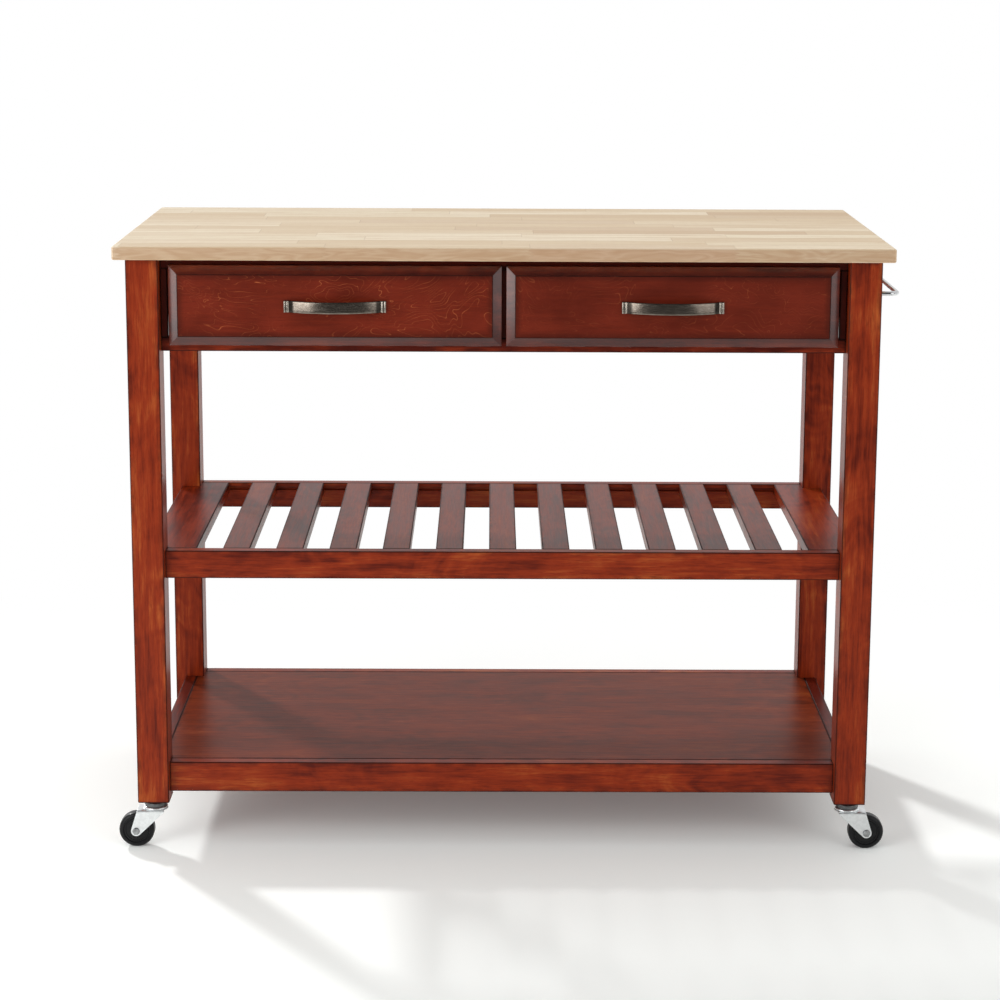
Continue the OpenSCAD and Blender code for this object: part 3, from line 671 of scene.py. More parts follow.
def butcher_block():
    """Pale staves glued side by side, each of finger-jointed sticks, under an oil finish.

    A stick is found from its stave's number and its own number along the stave. Growth rings
    round a pith of its own run through each stick, so the slab's ends show end grain.
    """
    s = bpy.context.scene.island_top
    low, high = box_of("butcher_block_top")
    g = Graph("oiled_butcher_block")
    x, y, z = g.place()
    row = ((y - low[1]) / s.stave).floor()
    within = ((y - low[1]) / s.stave).fraction()
    fingers = (z / 0.0046).wave() * 0.008
    length_here = s.stick * (0.72 + g.chance(row, 3.0) * 0.62)
    run = (x + fingers) / length_here + g.chance(row, 7.0) * 11.0
    stick = run.floor()
    tone = g.chance(row, stick, 1.0)
    second = g.chance(row, stick, 2.0)
    third = g.chance(row, stick, 5.0)
    sway = g.noise(x * 4.0 + tone * 50.0, y * 16.0, z * 16.0 + second * 20.0) - 0.5
    ring_y = (within - 0.5) * s.stave + (second - 0.5) * 0.10 + sway * 0.012
    ring_z = z - low[2] + 0.03 + third * 0.05 + sway * 0.010
    rings = (((ring_y * ring_y + ring_z * ring_z) ** 0.5) * 230.0).wave()
    streak = g.noise(x * 9.0 + tone * 90.0, y * 210.0, z * 210.0, detail=4.0, roughness=0.6)
    cloud = g.noise(x * 7.0 + second * 30.0, y * 30.0, z * 30.0)
    pore = g.grain((x, y, z), 75.0, 1500.0, detail=1.0)
    base = g.mix(third.rises(0.30, 0.80) * 0.85, s.pale, s.straw)
    base = g.mix(tone.rises(0.10, 0.90) * 0.74, base, s.warm)
    base = g.mix(second.rises(0.76, 0.96) * 0.50, base, s.brown)
    band = g.noise(x * 2.6 + tone * 60.0, y * 58.0, z * 58.0, detail=3.0)
    grain = rings * 0.34 + streak * 1.30 + cloud * 0.34 + band * 1.3 - 1.20
    base = g.mix(grain.rises(0.30, 0.78) * 0.74, base, s.warm)
    tick = g.grain((x, y, z), 34.0, 330.0)
    base = g.mix((pore.rises(0.57, 0.72) + tick.rises(0.60, 0.74)) * 0.30, base, s.brown)
    # On the slab's upright sides the sticks turn ruddier and browner: partly the oiled edge
    # grain, partly painted shade, as the sides take less light than the top.
    flank = (high[2] - z).rises(0.0006, 0.0030)
    flame = g.noise(x * 9.0 + tone * 40.0, y * 20.0, z * 62.0, distortion=0.8)
    flame = (flame * 6.0).wave()
    base = g.mix(flank * second.rises(0.25, 0.75) * 0.42, base, s.ruddy)
    base = g.mix(flank * (0.02 + flame * 0.50 + cloud * 0.16), base, s.brown)
    seam = (0.5 - abs(within - 0.5)).rises(0.013, 0.004)
    butt = (0.5 - abs(run.fraction() - 0.5)).rises(0.0016, 0.0005)
    base = g.mix((seam * 0.46).most(butt * (flank * 0.45 + 0.40)), base, s.glue)
    return g.finish(
        base_color=base,
        roughness=0.52 + streak * 0.16,
        specular_ior_level=0.46,
        normal=g.bump(pore * 0.6 + streak * 0.4 - seam * 0.5, 0.00015, 0.5),
    )


def plain_wood(name, axis, seed):
    """Pale unstained wood with fine grain along an axis."""
    s = bpy.context.scene.island_drawer
    g = Graph(name)
    along, across, depth = board_axes(g.place(), axis)
    wood = (along + seed * 2.3, across, depth)
    flow = g.grain(wood, 3.0, 20.0, detail=3.0)
    streak = g.grain(wood, 9.0, 190.0, detail=4.0, roughness=0.6)
    pore = g.grain(wood, 80.0, 1400.0, detail=1.0)
    deep = tuple(c * k for c, k in zip(s.inside, (0.74, 0.66, 0.56)))
    pale = tuple(min(1.0, c * k) for c, k in zip(s.inside, (1.16, 1.2, 1.25)))
    base = g.mix((flow + streak - 0.5).rises(0.15, 0.85), deep, pale)
    base = g.mix(pore.rises(0.56, 0.7) * 0.35, base, scaled(s.inside, 0.45))
    return g.finish(
        base_color=base, roughness=0.50 + streak * 0.2, specular_ior_level=0.4,
        normal=g.bump(pore * 0.6 + streak * 0.4, 0.00015, 0.5),
    )


def plated_metal(name, tint, rough=0.26, mottle=0.16):
    """Bright plated steel with soft mottling and fine wiping marks."""
    g = Graph(name)
    x, y, z = g.place()
    cloud = g.grain((x, y, z), 260.0, 260.0, detail=3.0)
    fine = g.noise(x * 2600.0, y * 2600.0, z * 900.0)
    base = g.mix(cloud.rises(0.35, 0.68), scaled(tint, 1 - mottle * 1.9), tint)
    return g.finish(
        base_color=base, metallic=1.0,
        roughness=rough + cloud * 0.14 + fine * 0.05,
        normal=g.bump(fine, 0.00004, 0.4),
    )


def antique_pewter(name, low, high):
    """Brushed pewter, worn bright on its beads and its face, black in its hollows.

    The hollows are where the strap leaves its feet and the line between two beads. The
    strap's upper edge is as dark, as painted shade of the gap above it.
    """
    s = bpy.context.scene.island_pull
    g = Graph(name)
    x, y, z = g.place()
    # Distance out along the pull from its screws, and where on it the two beads begin.
    away = abs(x - (low[0] + high[0]) / 2) - s.pitch / 2
    bead_in = (high[0] - low[0]) / 2 - s.pitch / 2 - 4.9 * s.bead
    brushed = g.noise(x * 60.0, y * 500.0, z * 2400.0, detail=3.0)
    cloud = g.noise(x * 90.0, y * 90.0, z * 160.0)
    beads = away.rises(bead_in, bead_in + 0.0006)
    line = abs(away - (bead_in + 2.7 * s.bead)).rises(0.0008, 0.0003)
    hollow = away.rises(-0.0085, -0.0050) * (1.0 - beads)
    # The strap's upper edge is painted dark: painted shade of the gap between the strap and the
    # drawer front above it.
    upper = (z - high[2]).rises(-0.0013, -0.0005)
    rub = beads * 0.5 + brushed.rises(0.40, 0.75) * 0.34 + cloud.rises(0.5, 0.8) * 0.16 + 0.12
    base = g.mix(rub.least(1.0), s.pewter, s.worn)
    base = g.mix(hollow.most(line).most(upper * 0.8) * 0.86, base, (0.012, 0.009, 0.007))
    return g.finish(
        base_color=base, metallic=0.93, roughness=0.15 + brushed * 0.12 + cloud * 0.05,
        normal=g.bump(brushed, 0.00006, 0.5),
    )


def wheel_black():
    """Black moulded wheel: a fine skin, scuffed and dusty on its tread."""
    s = bpy.context.scene.island_caster
    g = Graph("black_wheel")
    at = g.place()
    fine = g.grain(at, 1500.0, 1500.0)
    cloud = g.grain(at, 120.0, 120.0, detail=3.0)
    dusty = tuple(c * 2.0 + 0.005 for c in s.tyre)
    base = g.mix(cloud.rises(0.5, 0.85) * 0.5 + fine.rises(0.55, 0.8) * 0.2, s.tyre, dusty)
    return g.finish(
        base_color=base, roughness=0.22 + cloud * 0.18, specular_ior_level=0.24,
        normal=g.bump(fine, 0.00005, 0.5),
    )


def paint(node, material):
    """Gives a node of the frame its finish."""
    slots = NODES[node].data.materials
    slots.clear()
    slots.append(material)


# ---------------------------------------------------------------- operators


class PieceOperator:
    """What the operators of this file share."""

    bl_options = {"REGISTER"}


class ISLAND_OT_block_top(PieceOperator, bpy.types.Operator):
    """Butcher block slab with softly rounded edges"""

    bl_idname = "island.block_top"
    bl_label = "Butcher block top"

    def execute(self, context):
        s = context.scene.island_top
        low, high = box_of("butcher_block_top")
        outline = rounded_rectangle(low, high, s.corner)
        levels, inset = rounded_rim(low[2], high[2], s.arris)
        make_piece(
            "butcher_block_slab", [shell(stack(outline, levels, inset))], "table",
            butcher_block(), ["butcher_block_top"],
        )
        return {"FINISHED"}


class ISLAND_OT_stained_boards(PieceOperator, bpy.types.Operator):
    """Stain and lacquer for the legs, aprons, rails and shelves, each from its own plank"""

    bl_idname = "island.stained_boards"
    bl_label = "Stained boards"

    # Nodes of one board, and below them nodes of several, by the axis of their grain.
    grain = {
        "z": (
            "leg_front_left", "leg_front_right", "leg_back_left", "leg_back_right",
            "front_stile_left", "front_stile_right", "front_stile_middle",
        ),
        "x": (
            "back_apron", "front_top_rail", "front_bottom_rail",
            "slatted_shelf_front_rail", "slatted_shelf_back_rail",
            "solid_shelf_front_rail", "solid_shelf_back_rail",
        ),
        "y": ("side_apron_left", "side_apron_right", "centre_partition"),
    }
    groups = {
        "y": (
            "slide_supports", "slatted_shelf_slats", "slatted_shelf_end_boards",
            "solid_shelf_side_rails",
        ),
        "x": ("solid_shelf_panel", "top_cleats"),
    }
    # How much darker than the rest a node is stained. This is painted shade: on the face frame
    # set back behind the legs and drawers, on the shelves under the top, and on the right-hand
    # legs, which lie further from the left soft box.
    shade_tones = {
        "front_stile_left": 0.8, "front_stile_right": 0.8, "front_stile_middle": 0.8,
        "front_top_rail": 0.6, "front_bottom_rail": 0.25, "solid_shelf_panel": 0.10,
        "solid_shelf_front_rail": 0.10, "slatted_shelf_front_rail": 0.04,
        "leg_front_right": 0.05, "leg_back_right": 0.10, "slatted_shelf_end_boards": 0.15,
        "slatted_shelf_slats": 0.15, "solid_shelf_side_rails": 0.25,
    }
    # Nodes without rubbed edges, and nodes whose tongues are hidden in their rails.
    plain = ("slide_supports", "top_cleats")
    tongued = ("slatted_shelf_slats", "slatted_shelf_end_boards", "solid_shelf_panel")
    # Width along X of each of a node's equal boards, and their number.
    rows = {
        "slatted_shelf_slats": (0.039, 11), "slatted_shelf_end_boards": (0.0715, 2),
        "solid_shelf_side_rails": (0.018, 2),
    }
    calm = {"solid_shelf_panel": 0.60, "slatted_shelf_slats": 0.44}
    shine = {"solid_shelf_panel": 0.55, "slatted_shelf_slats": 1.25}

    def execute(self, context):
        tongue = context.scene.island_stain.tongue
        boards = [
            (axis, node)
            for table in (self.grain, self.groups)
            for axis, nodes in table.items()
            for node in nodes
        ]
        for seed, (axis, node) in enumerate(boards, 1):
            low, high = box_of(node)
            if node in self.tongued:
                low[1] += tongue
                high[1] -= tongue
            paint(node, stained_wood(
                "stain_" + node, axis, low, high, float(seed), self.shade_tones.get(node, 0.0),
                node not in self.plain, self.rows.get(node),
                calm=self.calm.get(node, 0.0), shine=self.shine.get(node, 1.0),
            ))
        return {"FINISHED"}


class ISLAND_OT_drawer_fronts(PieceOperator, bpy.types.Operator):
    """Veneered drawer fronts with a mitred bevel, a small step and a raised field"""

    bl_idname = "island.drawer_fronts"
    bl_label = "Drawer fronts"

    # Round of the front's back edges and of the field's edge, and the step's two corners.
    back_edge, field_edge, step_foot, step_top = 0.0006, 0.0005, 0.0008, 0.0001

    def execute(self, context):
        s = context.scene.island_drawer
        turn = np.linspace(0, math.pi / 2, 5)
        slope = (s.bevel_depth - s.step) / s.bevel
        for number, side in enumerate(SIDES):
            node = side + "_drawer_front"
            low, high = box_of(node)
            wide, deep, tall = high - low
            corners = np.array([(0, 0), (wide, 0), (wide, tall), (0, tall)])
            mitre = np.array([(-1, -1), (1, -1), (1, 1), (-1, 1)], float)
            levels = np.concatenate([
                [0.0, self.back_edge],
                deep - s.bevel_depth - s.round * (1 - np.sin(turn)) + slope * s.round * turn,
                [deep - s.step - slope * self.step_foot, deep - s.step * 0.9],
                deep - self.field_edge * (1 - np.sin(turn)),
            ])
            inset = np.concatenate([
                [self.back_edge, 0.0],
                s.round * (1 - np.cos(turn)),
                [s.bevel - self.step_foot, s.bevel - self.step_top],
                s.bevel + self.field_edge * (1 - np.cos(turn)),
            ])
            grid = stack(corners, levels, inset, mitre)
            at = np.stack(
                [low[0] + grid[..., 0], high[1] - grid[..., 2], low[2] + grid[..., 1]], 2
            )
            left = side == "left"
            # Tone darkens the bevel's wood as painted shade. Calm draws the right front towards
            # the glaze colour as painted shade, since it lies further from the left soft box.
            finish = stained_wood(
                "stain_" + node, "x", low, high, 40.0 + number * 3.3, tone=0.16,
                bevel=s.bevel, figure=0.66 if left else 0.34, calm=0.0 if left else 0.16,
            )
            make_piece(
                side + "_front_panel", [shell(at)], side + "_drawer", finish,
                [node], sharp=14.0,
            )
        return {"FINISHED"}


class ISLAND_OT_drawer_boxes(PieceOperator, bpy.types.Operator):
    """Unstained drawer boxes, and plated slides, balls and screws"""

    bl_idname = "island.drawer_boxes"
    bl_label = "Drawer boxes and slides"

    grain = {"inner_front": "x", "back": "x", "bottom": "x", "sides": "y"}

    def execute(self, context):
        for number, side in enumerate(SIDES):
            for part, axis in self.grain.items():
                node = f"{side}_drawer_{part}"
                # Any seed will do that gives each board its own wood.
                paint(node, plain_wood("plain_" + node, axis, number * 5.0 + len(part)))
        zinc = plated_metal("zinc_hardware", context.scene.island_caster.zinc)
        polished = plated_metal(
            "polished_steel", context.scene.island_bar.chrome, rough=0.10, mottle=0.06
        )
        for side in SIDES:
            paint(side + "_drawer_slide_channels", zinc)
            paint(side + "_pull_screws", zinc)
            paint(side + "_ball_cages", polished)
        for node in ("cabinet_slide_channels", "top_screws"):
            paint(node, zinc)
        paint("frame_dowels", plain_wood("plain_dowels", "x", 9.0))
        return {"FINISHED"}


class ISLAND_OT_pulls(PieceOperator, bpy.types.Operator):
    """Bowed strap pulls with beaded feet"""

    bl_idname = "island.pulls"
    bl_label = "Pulls"

    # How far inside the screws the bow ends and the feet begin, and the round of their rims.
    bow_in, foot_in, rim = 0.006, 0.003, 0.0006

    def execute(self, context):
        for side in SIDES:
            node = side + "_drawer_pull"
            low, high = box_of(node)
            make_piece(
                side + "_bowed_pull", self.shells(context, low, high), side + "_drawer",
                antique_pewter(side + "_antique_pewter", low, high), [node],
                sharp=40.0,
            )
        return {"FINISHED"}

    def shells(self, context, low, high):
        """A strap swept along a long arc with two short legs, and a foot at each end.

        The line is rounded where arc and legs meet by taking means of neighbouring points.
        """
        s = context.scene.island_pull
        mid = (low + high) / 2
        reach = high[1] - low[1]
        half = s.pitch / 2
        bend = half - self.bow_in
        apex = reach - s.strap / 2
        radius = (bend**2 + s.crown**2) / (2 * s.crown)
        x = np.linspace(-bend, bend, 49)
        bow = np.stack([x, apex - radius + np.sqrt(radius**2 - x**2)], 1)
        leg = np.linspace((half, s.foot - s.strap / 2), bow[-1], 9)[:-1]
        line = np.concatenate([leg * (-1, 1), bow, leg[::-1]])
        for _ in range(5):
            line[1:-1] = (line[:-2] + 2 * line[1:-1] + line[2:]) / 4
        path = np.stack(
            [mid[0] + line[:, 0], high[1] - line[:, 1], np.full(len(line), mid[2])], 1
        )
        section = superellipse(s.strap / 2, (high[2] - low[2]) / 2, 4.5, 40)
        shells = [swept(path, section, UP)]
        foot = high[0] - mid[0]
        inner = half - self.foot_in
        plate = s.foot - s.bead
        profile = [(inner, 0.0), (foot, 0.0), (foot, plate * 0.6)]
        for centre in (foot - s.bead, foot - 3.4 * s.bead):
            profile += arc((centre, plate), s.bead, 10, 170, 9)
        profile += [(inner, plate)]
        levels, inset = rounded_rim(low[2], high[2], self.rim, 4)
        grid = stack(np.array(profile), levels, inset)
        for way in (-1, 1):
            at = np.stack(
                [mid[0] + way * grid[..., 0], high[1] - grid[..., 1], grid[..., 2]], 2
            )
            shells.append(shell(at))
        return shells


class ISLAND_OT_towel_bar(PieceOperator, bpy.types.Operator):
    """Chrome towel bar bent from one rod"""

    bl_idname = "island.towel_bar"
    bl_label = "Towel bar"

    def execute(self, context):
        s = context.scene.island_bar
        low, high = box_of("towel_bar")
        radius = (high[2] - low[2]) / 2
        z = (low[2] + high[2]) / 2
        x, y = high[0] - radius, high[1] - radius
        turn = np.radians(np.linspace(0, 90, 15))
        bend = np.stack(
            [x - s.bend + s.bend * np.sin(turn), s.bend - s.bend * np.cos(turn) - y], 1
        )
        stub = np.linspace((low[0], -y), (x - s.bend, -y), 8)[:-1]
        straight = np.linspace((x, s.bend - y), (x, y - s.bend), 40)[1:-1]
        end = np.concatenate([stub, bend])
        line = np.concatenate([end, straight, end[::-1] * (1, -1)])
        path = np.concatenate([line, np.full((len(line), 1), z)], 1)
        section = superellipse(radius, radius, 2.0, 28)
        make_piece(
            "chrome_towel_bar", [swept(path, section, UP)], "table",
            plated_metal("bar_chrome", s.chrome, rough=0.09, mottle=0.05), ["towel_bar"],
        )
        return {"FINISHED"}


class ISLAND_OT_casters(PieceOperator, bpy.types.Operator):
    """Four swivel casters: turned stems and wheels, bent forks and hex-headed axles"""

    bl_idname = "island.casters"
    bl_label = "Casters"

    # Middle of the wheel to a cheek's outer face, radius of the fork's bends, and the gap
    # between the raceway ring and the cup.
    cheek_face, fold, play = 0.0135, 0.0022, 0.0003
    # How far the cheek's nose lies below the crown, and its heel short of the axle.
    nose_drop, heel_short = 0.0015, 0.002
    # How far the hub stands out past the tread, and the radius of the tread's shoulders.
    hub_proud, shoulder = 0.0007, 0.005
    # Thickness of a washer, chamfer of a nut, round of the axle's end, and how far a nut is
    # let into its washer.
    washer, chamfer, tip_round, bite = 0.0007, 0.0007, 0.0004, 0.0001
    # Profile of the hub, out from the bore and up from the tread's side.
    hub_steps = (
        (0.00005, 0.0007), (0.0040, 0.0007), (0.0045, 0.0003), (0.0045, -0.0006),
        (0.0049, -0.0010), (0.0061, -0.0010), (0.0065, -0.0016), (0.0069, -0.0020),
    )
    # Profile of the dished web and its two rings, in from the tread's shoulder and up.
    web_steps = (
        (0.0052, -0.0020), (0.0048, -0.0014), (0.0038, -0.0014), (0.0034, -0.0020),
        (0.0018, -0.0020), (0.0014, -0.0004), (0.0010, 0.0),
    )

    def execute(self, context):
        s = context.scene.island_caster
        zinc = plated_metal("zinc_caster", s.zinc, rough=0.24, mottle=0.045)
        dull = plated_metal("zinc_axle", scaled(s.zinc, 0.5), rough=0.3)
        # The stems are zinc at a fifth of its brightness: painted shade in the cup under the
        # leg.
        dark = plated_metal("stem_zinc_painted_shade", scaled(s.zinc, 0.2), rough=0.34)
        black = wheel_black()
        stems = []
        for corner in CORNERS:
            wheel_low, wheel_high = box_of("caster_wheel_" + corner)
            leg_low, leg_high = box_of("leg_" + corner)
            hub = (wheel_low + wheel_high) / 2
            pivot = (leg_low + leg_high) / 2
            way = 1.0 if hub[0] > pivot[0] else -1.0
            stems.append(self.stem(s, pivot, leg_low[2], corner))
            make_piece(
                "wheel_" + corner, self.wheel(s, hub, wheel_high - wheel_low),
                corner + "_wheel", black, ["caster_wheel_" + corner],
            )
            fork = make_piece(
                "fork_" + corner, [self.fork(s, pivot, hub, way, corner)],
                corner + "_caster", zinc,
            )
            self.thicken(fork, s.metal)
            make_piece(
                "raceway_" + corner, self.raceway(s, pivot, corner),
                corner + "_caster", zinc, ["caster_fork_" + corner],
            )
            make_piece(
                "axle_" + corner, self.axle(s, hub, corner),
                corner + "_caster", dull, ["caster_axle_" + corner], sharp=25.0,
            )
        make_piece("stems", stems, "table", dark, ["caster_stems"])
        return {"FINISHED"}

    def thicken(self, fork, metal):
        """Gives the fork's sheet its thickness on both sides and eases its cut edges."""
        wall = fork.modifiers.new("wall", "SOLIDIFY")
        wall.thickness = metal
        wall.offset = 0.0
        wall.use_even_offset = True
        ease = fork.modifiers.new("ease", "BEVEL")
        ease.width = metal * 0.2
        ease.segments = 2
        ease.limit_method = "ANGLE"
        ease.angle_limit = math.radians(50)

    def crown(self, s, corner):
        """Heights of the crown's top and of the raceway ring's top."""
        ring = box_of("caster_fork_" + corner)[1][2]
        return ring - s.race, ring

    def stem(self, s, pivot, leg_end, corner):
        """Rivet head, kingpin, upper cup and stem in one profile turned about Z."""
        low, high = box_of("caster_stems")
        cup = self.crown(s, corner)[1] + self.play
        brow = cup + (leg_end - cup) * 0.45
        small = s.head * 0.14
        rivet = s.kingpin * 1.7
        neck = s.head * 0.86
        edge, lip = 0.0006, 0.0008
        profile = [(0.0, low[2]), (s.kingpin * 1.3, low[2])]
        profile += arc((rivet - edge, low[2] + edge), edge, -90, 0, 4)
        profile += [(rivet, low[2] + 3 * edge), (s.kingpin, low[2] + 3 * edge)]
        profile += [(s.kingpin, cup), (s.head - lip, cup)]
        profile += arc((s.head - lip, cup + lip), lip, -90, 0, 5)
        profile += arc((s.head - small, brow), small, 0, 90, 6)
        profile += [(s.head - small - 0.0004, brow + small + 0.0006)]
        profile += [(neck - 0.0004, leg_end - 0.0012), (neck, leg_end - 0.0008)]
        profile += [(neck, leg_end), (s.stem, leg_end)]
        profile += [(s.stem, high[2] - 0.003), (s.stem - 0.0015, high[2]), (0.0, high[2])]
        return turned(profile, (pivot[0], pivot[1], 0.0), "z")

    def raceway(self, s, pivot, corner):
        """The rolled ring that turns under the cup, on its round seat."""
        top, ring = self.crown(s, corner)
        bore = s.kingpin * 2
        seat = [
            (0.0014, -0.0004), (0.0020, -0.0002), (0.0020, 0.0001), (0.0012, 0.0003),
        ]
        profile = [(bore, top - 0.0004)] + [(s.head + a, top + b) for a, b in seat]
        profile += arc((s.head - 0.0005, (top + ring) / 2), s.race / 2, -70, 90, 12)
        profile += [(bore, ring)]
        return [turned(profile, (pivot[0], pivot[1], 0.0), "z", wrap=True)]

    def cheek(self, s, reach, axle_z, top):
        """Left and right ends of the fork's cheek at any height.

        The cheek is bounded by a line from its nose that touches the boss, by the boss, and
        by a line from its heel that touches the boss, so each side is that line or the arc,
        whichever stands further out.
        """
        r = s.boss
        nose = np.array([s.nose - s.head, top - s.metal - self.nose_drop])
        heel = np.array([reach - self.heel_short, top])
        hub = np.array([reach, axle_z])

        def touch(point, turn):
            """Where a line from a point touches the boss, on its left or its right."""
            gap = hub - point
            away = math.asin(r / math.hypot(*gap)) - math.pi / 2
            lean = math.atan2(gap[1], gap[0]) + turn * away + math.pi
            return hub + r * np.array([math.cos(lean), math.sin(lean)])

        left, right = touch(nose, -1), touch(heel, 1)

        def ends(z):
            round_x = np.sqrt(np.clip(r**2 - (z - axle_z) ** 2, 0, None))
            a = np.interp(z, [left[1], nose[1], top], [left[0], nose[0], nose[0]])
            b = np.interp(z, [right[1], heel[1]], [right[0], heel[0]])
            a = np.where(z < left[1], reach - round_x, a)
            b = np.where(z < right[1], reach + round_x, b)
            return a, b

        return ends

    def fork(self, s, pivot, hub, way, corner):
        """The middle of the fork's bent sheet.

        Rows run across the developed sheet: up one cheek, round a bend, over the crown and
        down the other cheek. Columns run from the sheet's nose to its heel at that height.
        """
        top = self.crown(s, corner)[0]
        half = self.cheek_face - s.metal / 2
        crown = top - s.metal / 2
        reach = abs(hub[0] - pivot[0])
        bend = self.fold
        swing = np.linspace(0, math.pi / 2, 15)
        # A micron up, so that the lowest row keeps a width.
        foot = hub[2] - s.boss * np.cos(swing) + 1e-6
        rise = np.linspace(hub[2], crown - bend, 18)[1:]
        z = np.concatenate([foot, rise])
        turn = np.linspace(0, math.pi / 2, 7)[1:]
        y = np.concatenate([np.full(len(z), -half), bend - bend * np.cos(turn) - half])
        z = np.concatenate([z, crown - bend + bend * np.sin(turn)])
        flat = np.linspace(bend - half, half - bend, 9)[1:-1]
        y = np.concatenate([y, flat, -y[::-1]])
        z = np.concatenate([z, np.full(len(flat), crown), z[::-1]])
        left, right = self.cheek(s, reach, hub[2], top)(z)
        x = left[:, None] + (right - left)[:, None] * np.linspace(0, 1, 25)
        grid = np.stack(
            [
                pivot[0] + way * x,
                np.broadcast_to(pivot[1] + y[:, None], x.shape),
                np.broadcast_to(z[:, None], x.shape),
            ],
            2,
        )
        return shell(grid, wrap_columns=False, caps=False)

    def wheel(self, s, hub, size):
        """Tread with round shoulders, a dished web with two rings, and a hub."""
        half = size[1] / 2 - self.hub_proud
        inner = size[2] / 2 - self.shoulder
        upper = [(s.axle + a, half + b) for a, b in self.hub_steps]
        upper += [(inner - a, half + b) for a, b in self.web_steps]
        upper += arc((inner, half - self.shoulder), self.shoulder, 90, 0, 10)
        profile = upper + [(a, -b) for a, b in upper[::-1]]
        return [turned(profile, hub, "y", steps=72, wrap=True)]

    def axle(self, s, hub, corner):
        """A hexagon bolt head on one side, a nut on the other, each on a washer."""
        low, high = box_of("caster_axle_" + corner)
        half = (high[1] - low[1]) / 2
        across = (high[0] - low[0]) / 2
        seat = self.cheek_face
        turn = np.radians(np.arange(6) * 60.0)
        six = np.stack([np.cos(turn), np.sin(turn)], 1) * across
        ring = superellipse(across * 1.02, across * 1.02, 2.0, 32)
        tip = superellipse(s.axle, s.axle, 2.0, 24)
        shells = []
        levels = [seat + self.washer - self.bite, half - self.chamfer, half - self.bite]
        head = stack(six, levels, [0.0, 0.0, self.chamfer], six / across)
        levels, inset = rounded_rim(seat, seat + self.washer, 0.0002, 3)
        disc = stack(ring, levels, inset)
        levels = [seat - s.metal, half, half + self.tip_round]
        end = stack(tip, levels, [0.0, 0.0, self.tip_round])
        for way in (-1, 1):
            shells += [self.stand(grid, hub, way) for grid in (head, disc, end)]
        return shells

    def stand(self, grid, hub, way):
        """Turns a stack whose levels run up Z so that they run out along Y from the hub."""
        at = np.stack(
            [hub[0] + grid[..., 0], hub[1] + way * grid[..., 2], hub[2] + grid[..., 1]], 2
        )
        return shell(at)


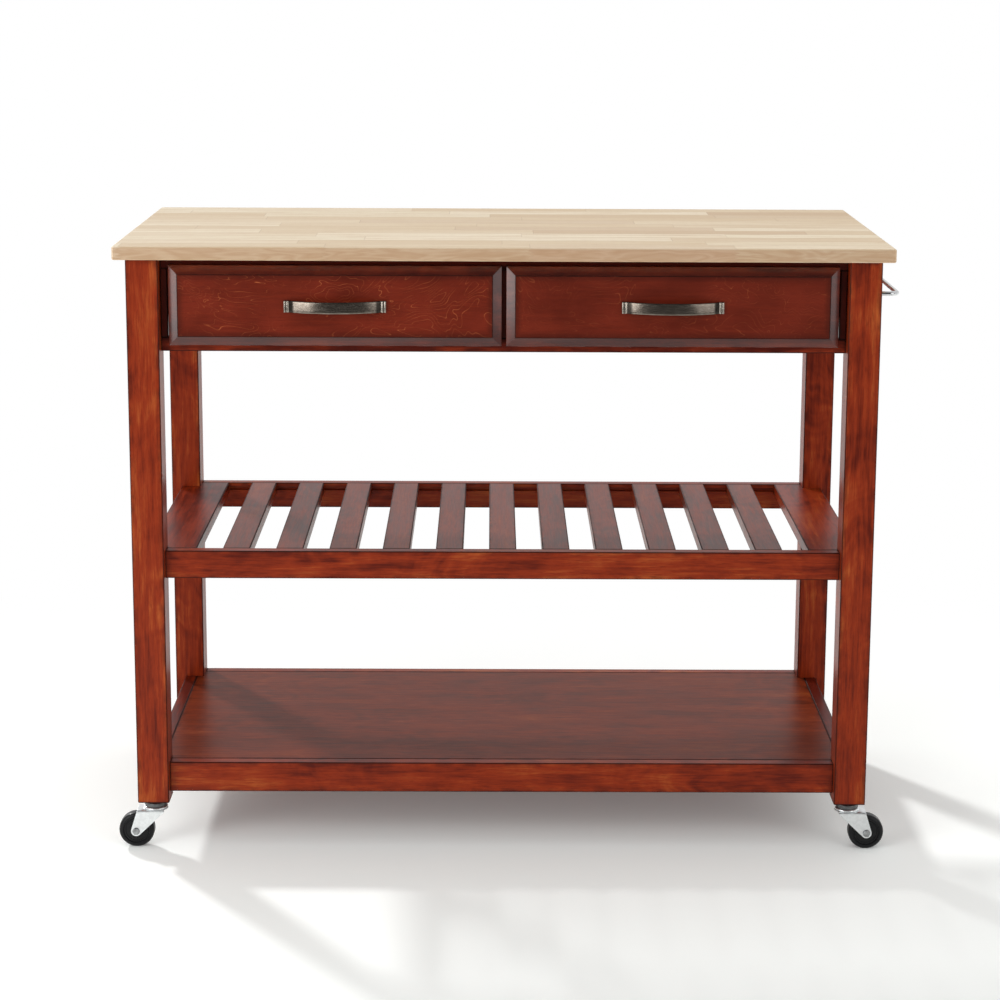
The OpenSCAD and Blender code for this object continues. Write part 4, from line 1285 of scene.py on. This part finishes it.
class ISLAND_OT_studio(PieceOperator, bpy.types.Operator):
    """Pale floor, white surroundings, soft light and the camera"""

    bl_idname = "island.studio"
    bl_label = "Studio"

    # Where the floor fades to white behind, on the left and on the right, and where in front
    # it is mirrored dark.
    fade_back, fade_left, fade_right = (0.25, 1.1), (-0.85, -1.35), (1.6, 2.6)
    dark_front = (-0.9, -2.6)
    # Half the floor's width, the way to the sun, and each soft box's size, place and aim.
    reach = 9.0
    sunward = Vector((-0.478, 0.688, 0.545))
    box_size = (1.3, 1.7)
    box_place = Vector((2.02, -2.02, 1.15))
    box_aim = Vector((0.0, 0.0, 0.55))

    def execute(self, context):
        s = context.scene.island_stage
        self.floor(context, s)
        self.world(context, s)
        self.lights(context, s)
        self.camera(context, s)
        context.scene.view_settings.view_transform = "Standard"
        return {"FINISHED"}

    def floor(self, context, s):
        """A flat painted floor that fades to white for the camera.

        It fades behind the island, on its left and far on its right. Polished pieces mirror
        it dark where it lies far in front.
        """
        x, y = np.meshgrid([-self.reach, self.reach], [-self.reach, self.reach], indexing="ij")
        at = np.stack([x, y, np.zeros((2, 2))], 2).reshape(-1, 3)
        mesh = bpy.data.meshes.new("studio_floor")
        mesh.from_pydata(at.tolist(), [], [[0, 2, 3, 1]])
        g = Graph("floor_paint")
        px, py, _ = g.place()
        cloud = g.noise(px * 1.3, py * 1.3, 0.0, detail=3.0)
        camera = g.node("ShaderNodeLightPath", out="Is Camera Ray")
        glossy = g.node("ShaderNodeLightPath", out="Is Glossy Ray")
        tint = g.mix(cloud.rises(0.3, 0.7) * 0.5, s.floor, scaled(s.floor, 0.98))
        dark = glossy * py.rises(*self.dark_front)
        tint = g.mix(dark, tint, scaled(s.floor, s.front))
        g.finish(
            base_color=tint, roughness=0.9, specular_ior_level=0.0,
            emission_color=g.mix(camera, (0.0, 0.0, 0.0), (s.lift, s.lift, s.lift)),
            emission_strength=1.0,
        )
        fade = py.rises(*self.fade_back).most(px.rises(*self.fade_left))
        fade = fade.most(px.rises(*self.fade_right))
        white = g.node("ShaderNodeEmission", {"Color": (1.0, 1.0, 1.0), "Strength": 1.0})
        both = g.node(
            "ShaderNodeMixShader",
            {0: fade * camera, 1: Wire(g, g.shader.outputs[0]), 2: white},
        )
        g.feed(g.tree.nodes["Material Output"].inputs["Surface"], both)
        mesh.materials.append(g.material)
        floor = bpy.data.objects.new("studio_floor", mesh)
        context.scene.collection.objects.link(floor)

    def world(self, context, s):
        """White where it is seen, and an even light of its own strength elsewhere.

        Polished pieces mirror it nearly white, apart from the dark room behind the camera.
        """
        world = bpy.data.worlds.new("studio_world")
        context.scene.world = world
        world.use_nodes = True
        g = Graph(tree=world.node_tree)
        rays = {
            kind: g.node("ShaderNodeLightPath", out=f"Is {kind} Ray")
            for kind in ("Camera", "Glossy", "Transmission")
        }
        way = g.node("ShaderNodeTexCoord", out="Generated")
        ahead = g.node("ShaderNodeSeparateXYZ", {0: way}, out=1)
        mirrored = rays["Glossy"].most(rays["Transmission"])
        level = mirrored * (ahead.rises(-0.75, -0.05) * (s.back - s.front) + s.front)
        level = level + (1.0 - mirrored.most(rays["Camera"])) * s.room
        background = g.tree.nodes["Background"]
        g.feed(background.inputs["Strength"], level.most(rays["Camera"]))
        background.inputs["Color"].default_value = (1.0, 1.0, 1.0, 1.0)

    def lights(self, context, s):
        """A low sun behind on the left, and a tall soft box on either side in front."""
        sun = bpy.data.lights.new("back_sun", "SUN")
        sun.energy = s.sun
        sun.angle = s.sun_size
        self.aim(context, sun, self.sunward * 4, Vector())
        for side, way, power in (("left", -1, s.left_box), ("right", 1, s.right_box)):
            box = bpy.data.lights.new(side + "_box", "AREA")
            box.shape = "RECTANGLE"
            box.size, box.size_y = self.box_size
            box.energy = power
            place = self.box_place * Vector((way, 1, 1))
            self.aim(context, box, place, self.box_aim)

    def aim(self, context, light, place, target):
        """Puts a light in its place, turned to its target and hidden from the camera."""
        lamp = bpy.data.objects.new(light.name, light)
        lamp.visible_camera = False
        lamp.matrix_world = Matrix.Translation(place) @ (
            (place - target).to_track_quat("Z", "Y").to_matrix().to_4x4()
        )
        context.scene.collection.objects.link(lamp)

    def camera(self, context, s):
        """Looks along +Y, turned by yaw, then down by pitch, then leaned by roll."""
        data = bpy.data.cameras.new("camera")
        data.lens = s.lens
        data.sensor_width = 36.0
        data.shift_y = s.shift
        data.clip_end = 60.0
        camera = bpy.data.objects.new("camera", data)
        camera.matrix_world = (
            Matrix.Translation(Vector(s.camera))
            @ Matrix.Rotation(s.yaw, 4, "Z")
            @ Matrix.Rotation(math.pi / 2 - s.pitch, 4, "X")
            @ Matrix.Rotation(s.roll, 4, "Z")
        )
        context.scene.collection.objects.link(camera)
        context.scene.camera = camera


OPERATORS = (
    ISLAND_OT_block_top,
    ISLAND_OT_stained_boards,
    ISLAND_OT_drawer_fronts,
    ISLAND_OT_drawer_boxes,
    ISLAND_OT_pulls,
    ISLAND_OT_towel_bar,
    ISLAND_OT_casters,
    ISLAND_OT_studio,
)


class ISLAND_PT_panel(bpy.types.Panel):
    """Settings and steps of the rolling kitchen island"""

    bl_idname = "ISLAND_PT_panel"
    bl_label = "Rolling kitchen island"
    bl_space_type = "VIEW_3D"
    bl_region_type = "UI"
    bl_category = "Island"

    def draw(self, context):
        layout = self.layout
        for operator in OPERATORS:
            layout.operator(operator.bl_idname)
        for name, group in SETTINGS.items():
            box = layout.box()
            box.label(text=name.replace("island_", "").title())
            for field in group.__annotations__:
                box.prop(getattr(context.scene, name), field)


def register():
    for group in SETTINGS.values():
        bpy.utils.register_class(group)
    for name, group in SETTINGS.items():
        setattr(bpy.types.Scene, name, PointerProperty(type=group))
    for operator in OPERATORS:
        bpy.utils.register_class(operator)
    bpy.utils.register_class(ISLAND_PT_panel)


def unregister():
    bpy.utils.unregister_class(ISLAND_PT_panel)
    for operator in reversed(OPERATORS):
        bpy.utils.unregister_class(operator)
    for name in SETTINGS:
        delattr(bpy.types.Scene, name)
    for group in reversed(SETTINGS.values()):
        bpy.utils.unregister_class(group)


def main():
    register()
    for operator in OPERATORS:
        area, name = operator.bl_idname.split(".")
        getattr(getattr(bpy.ops, area), name)()


if __name__ == "__main__":
    main()
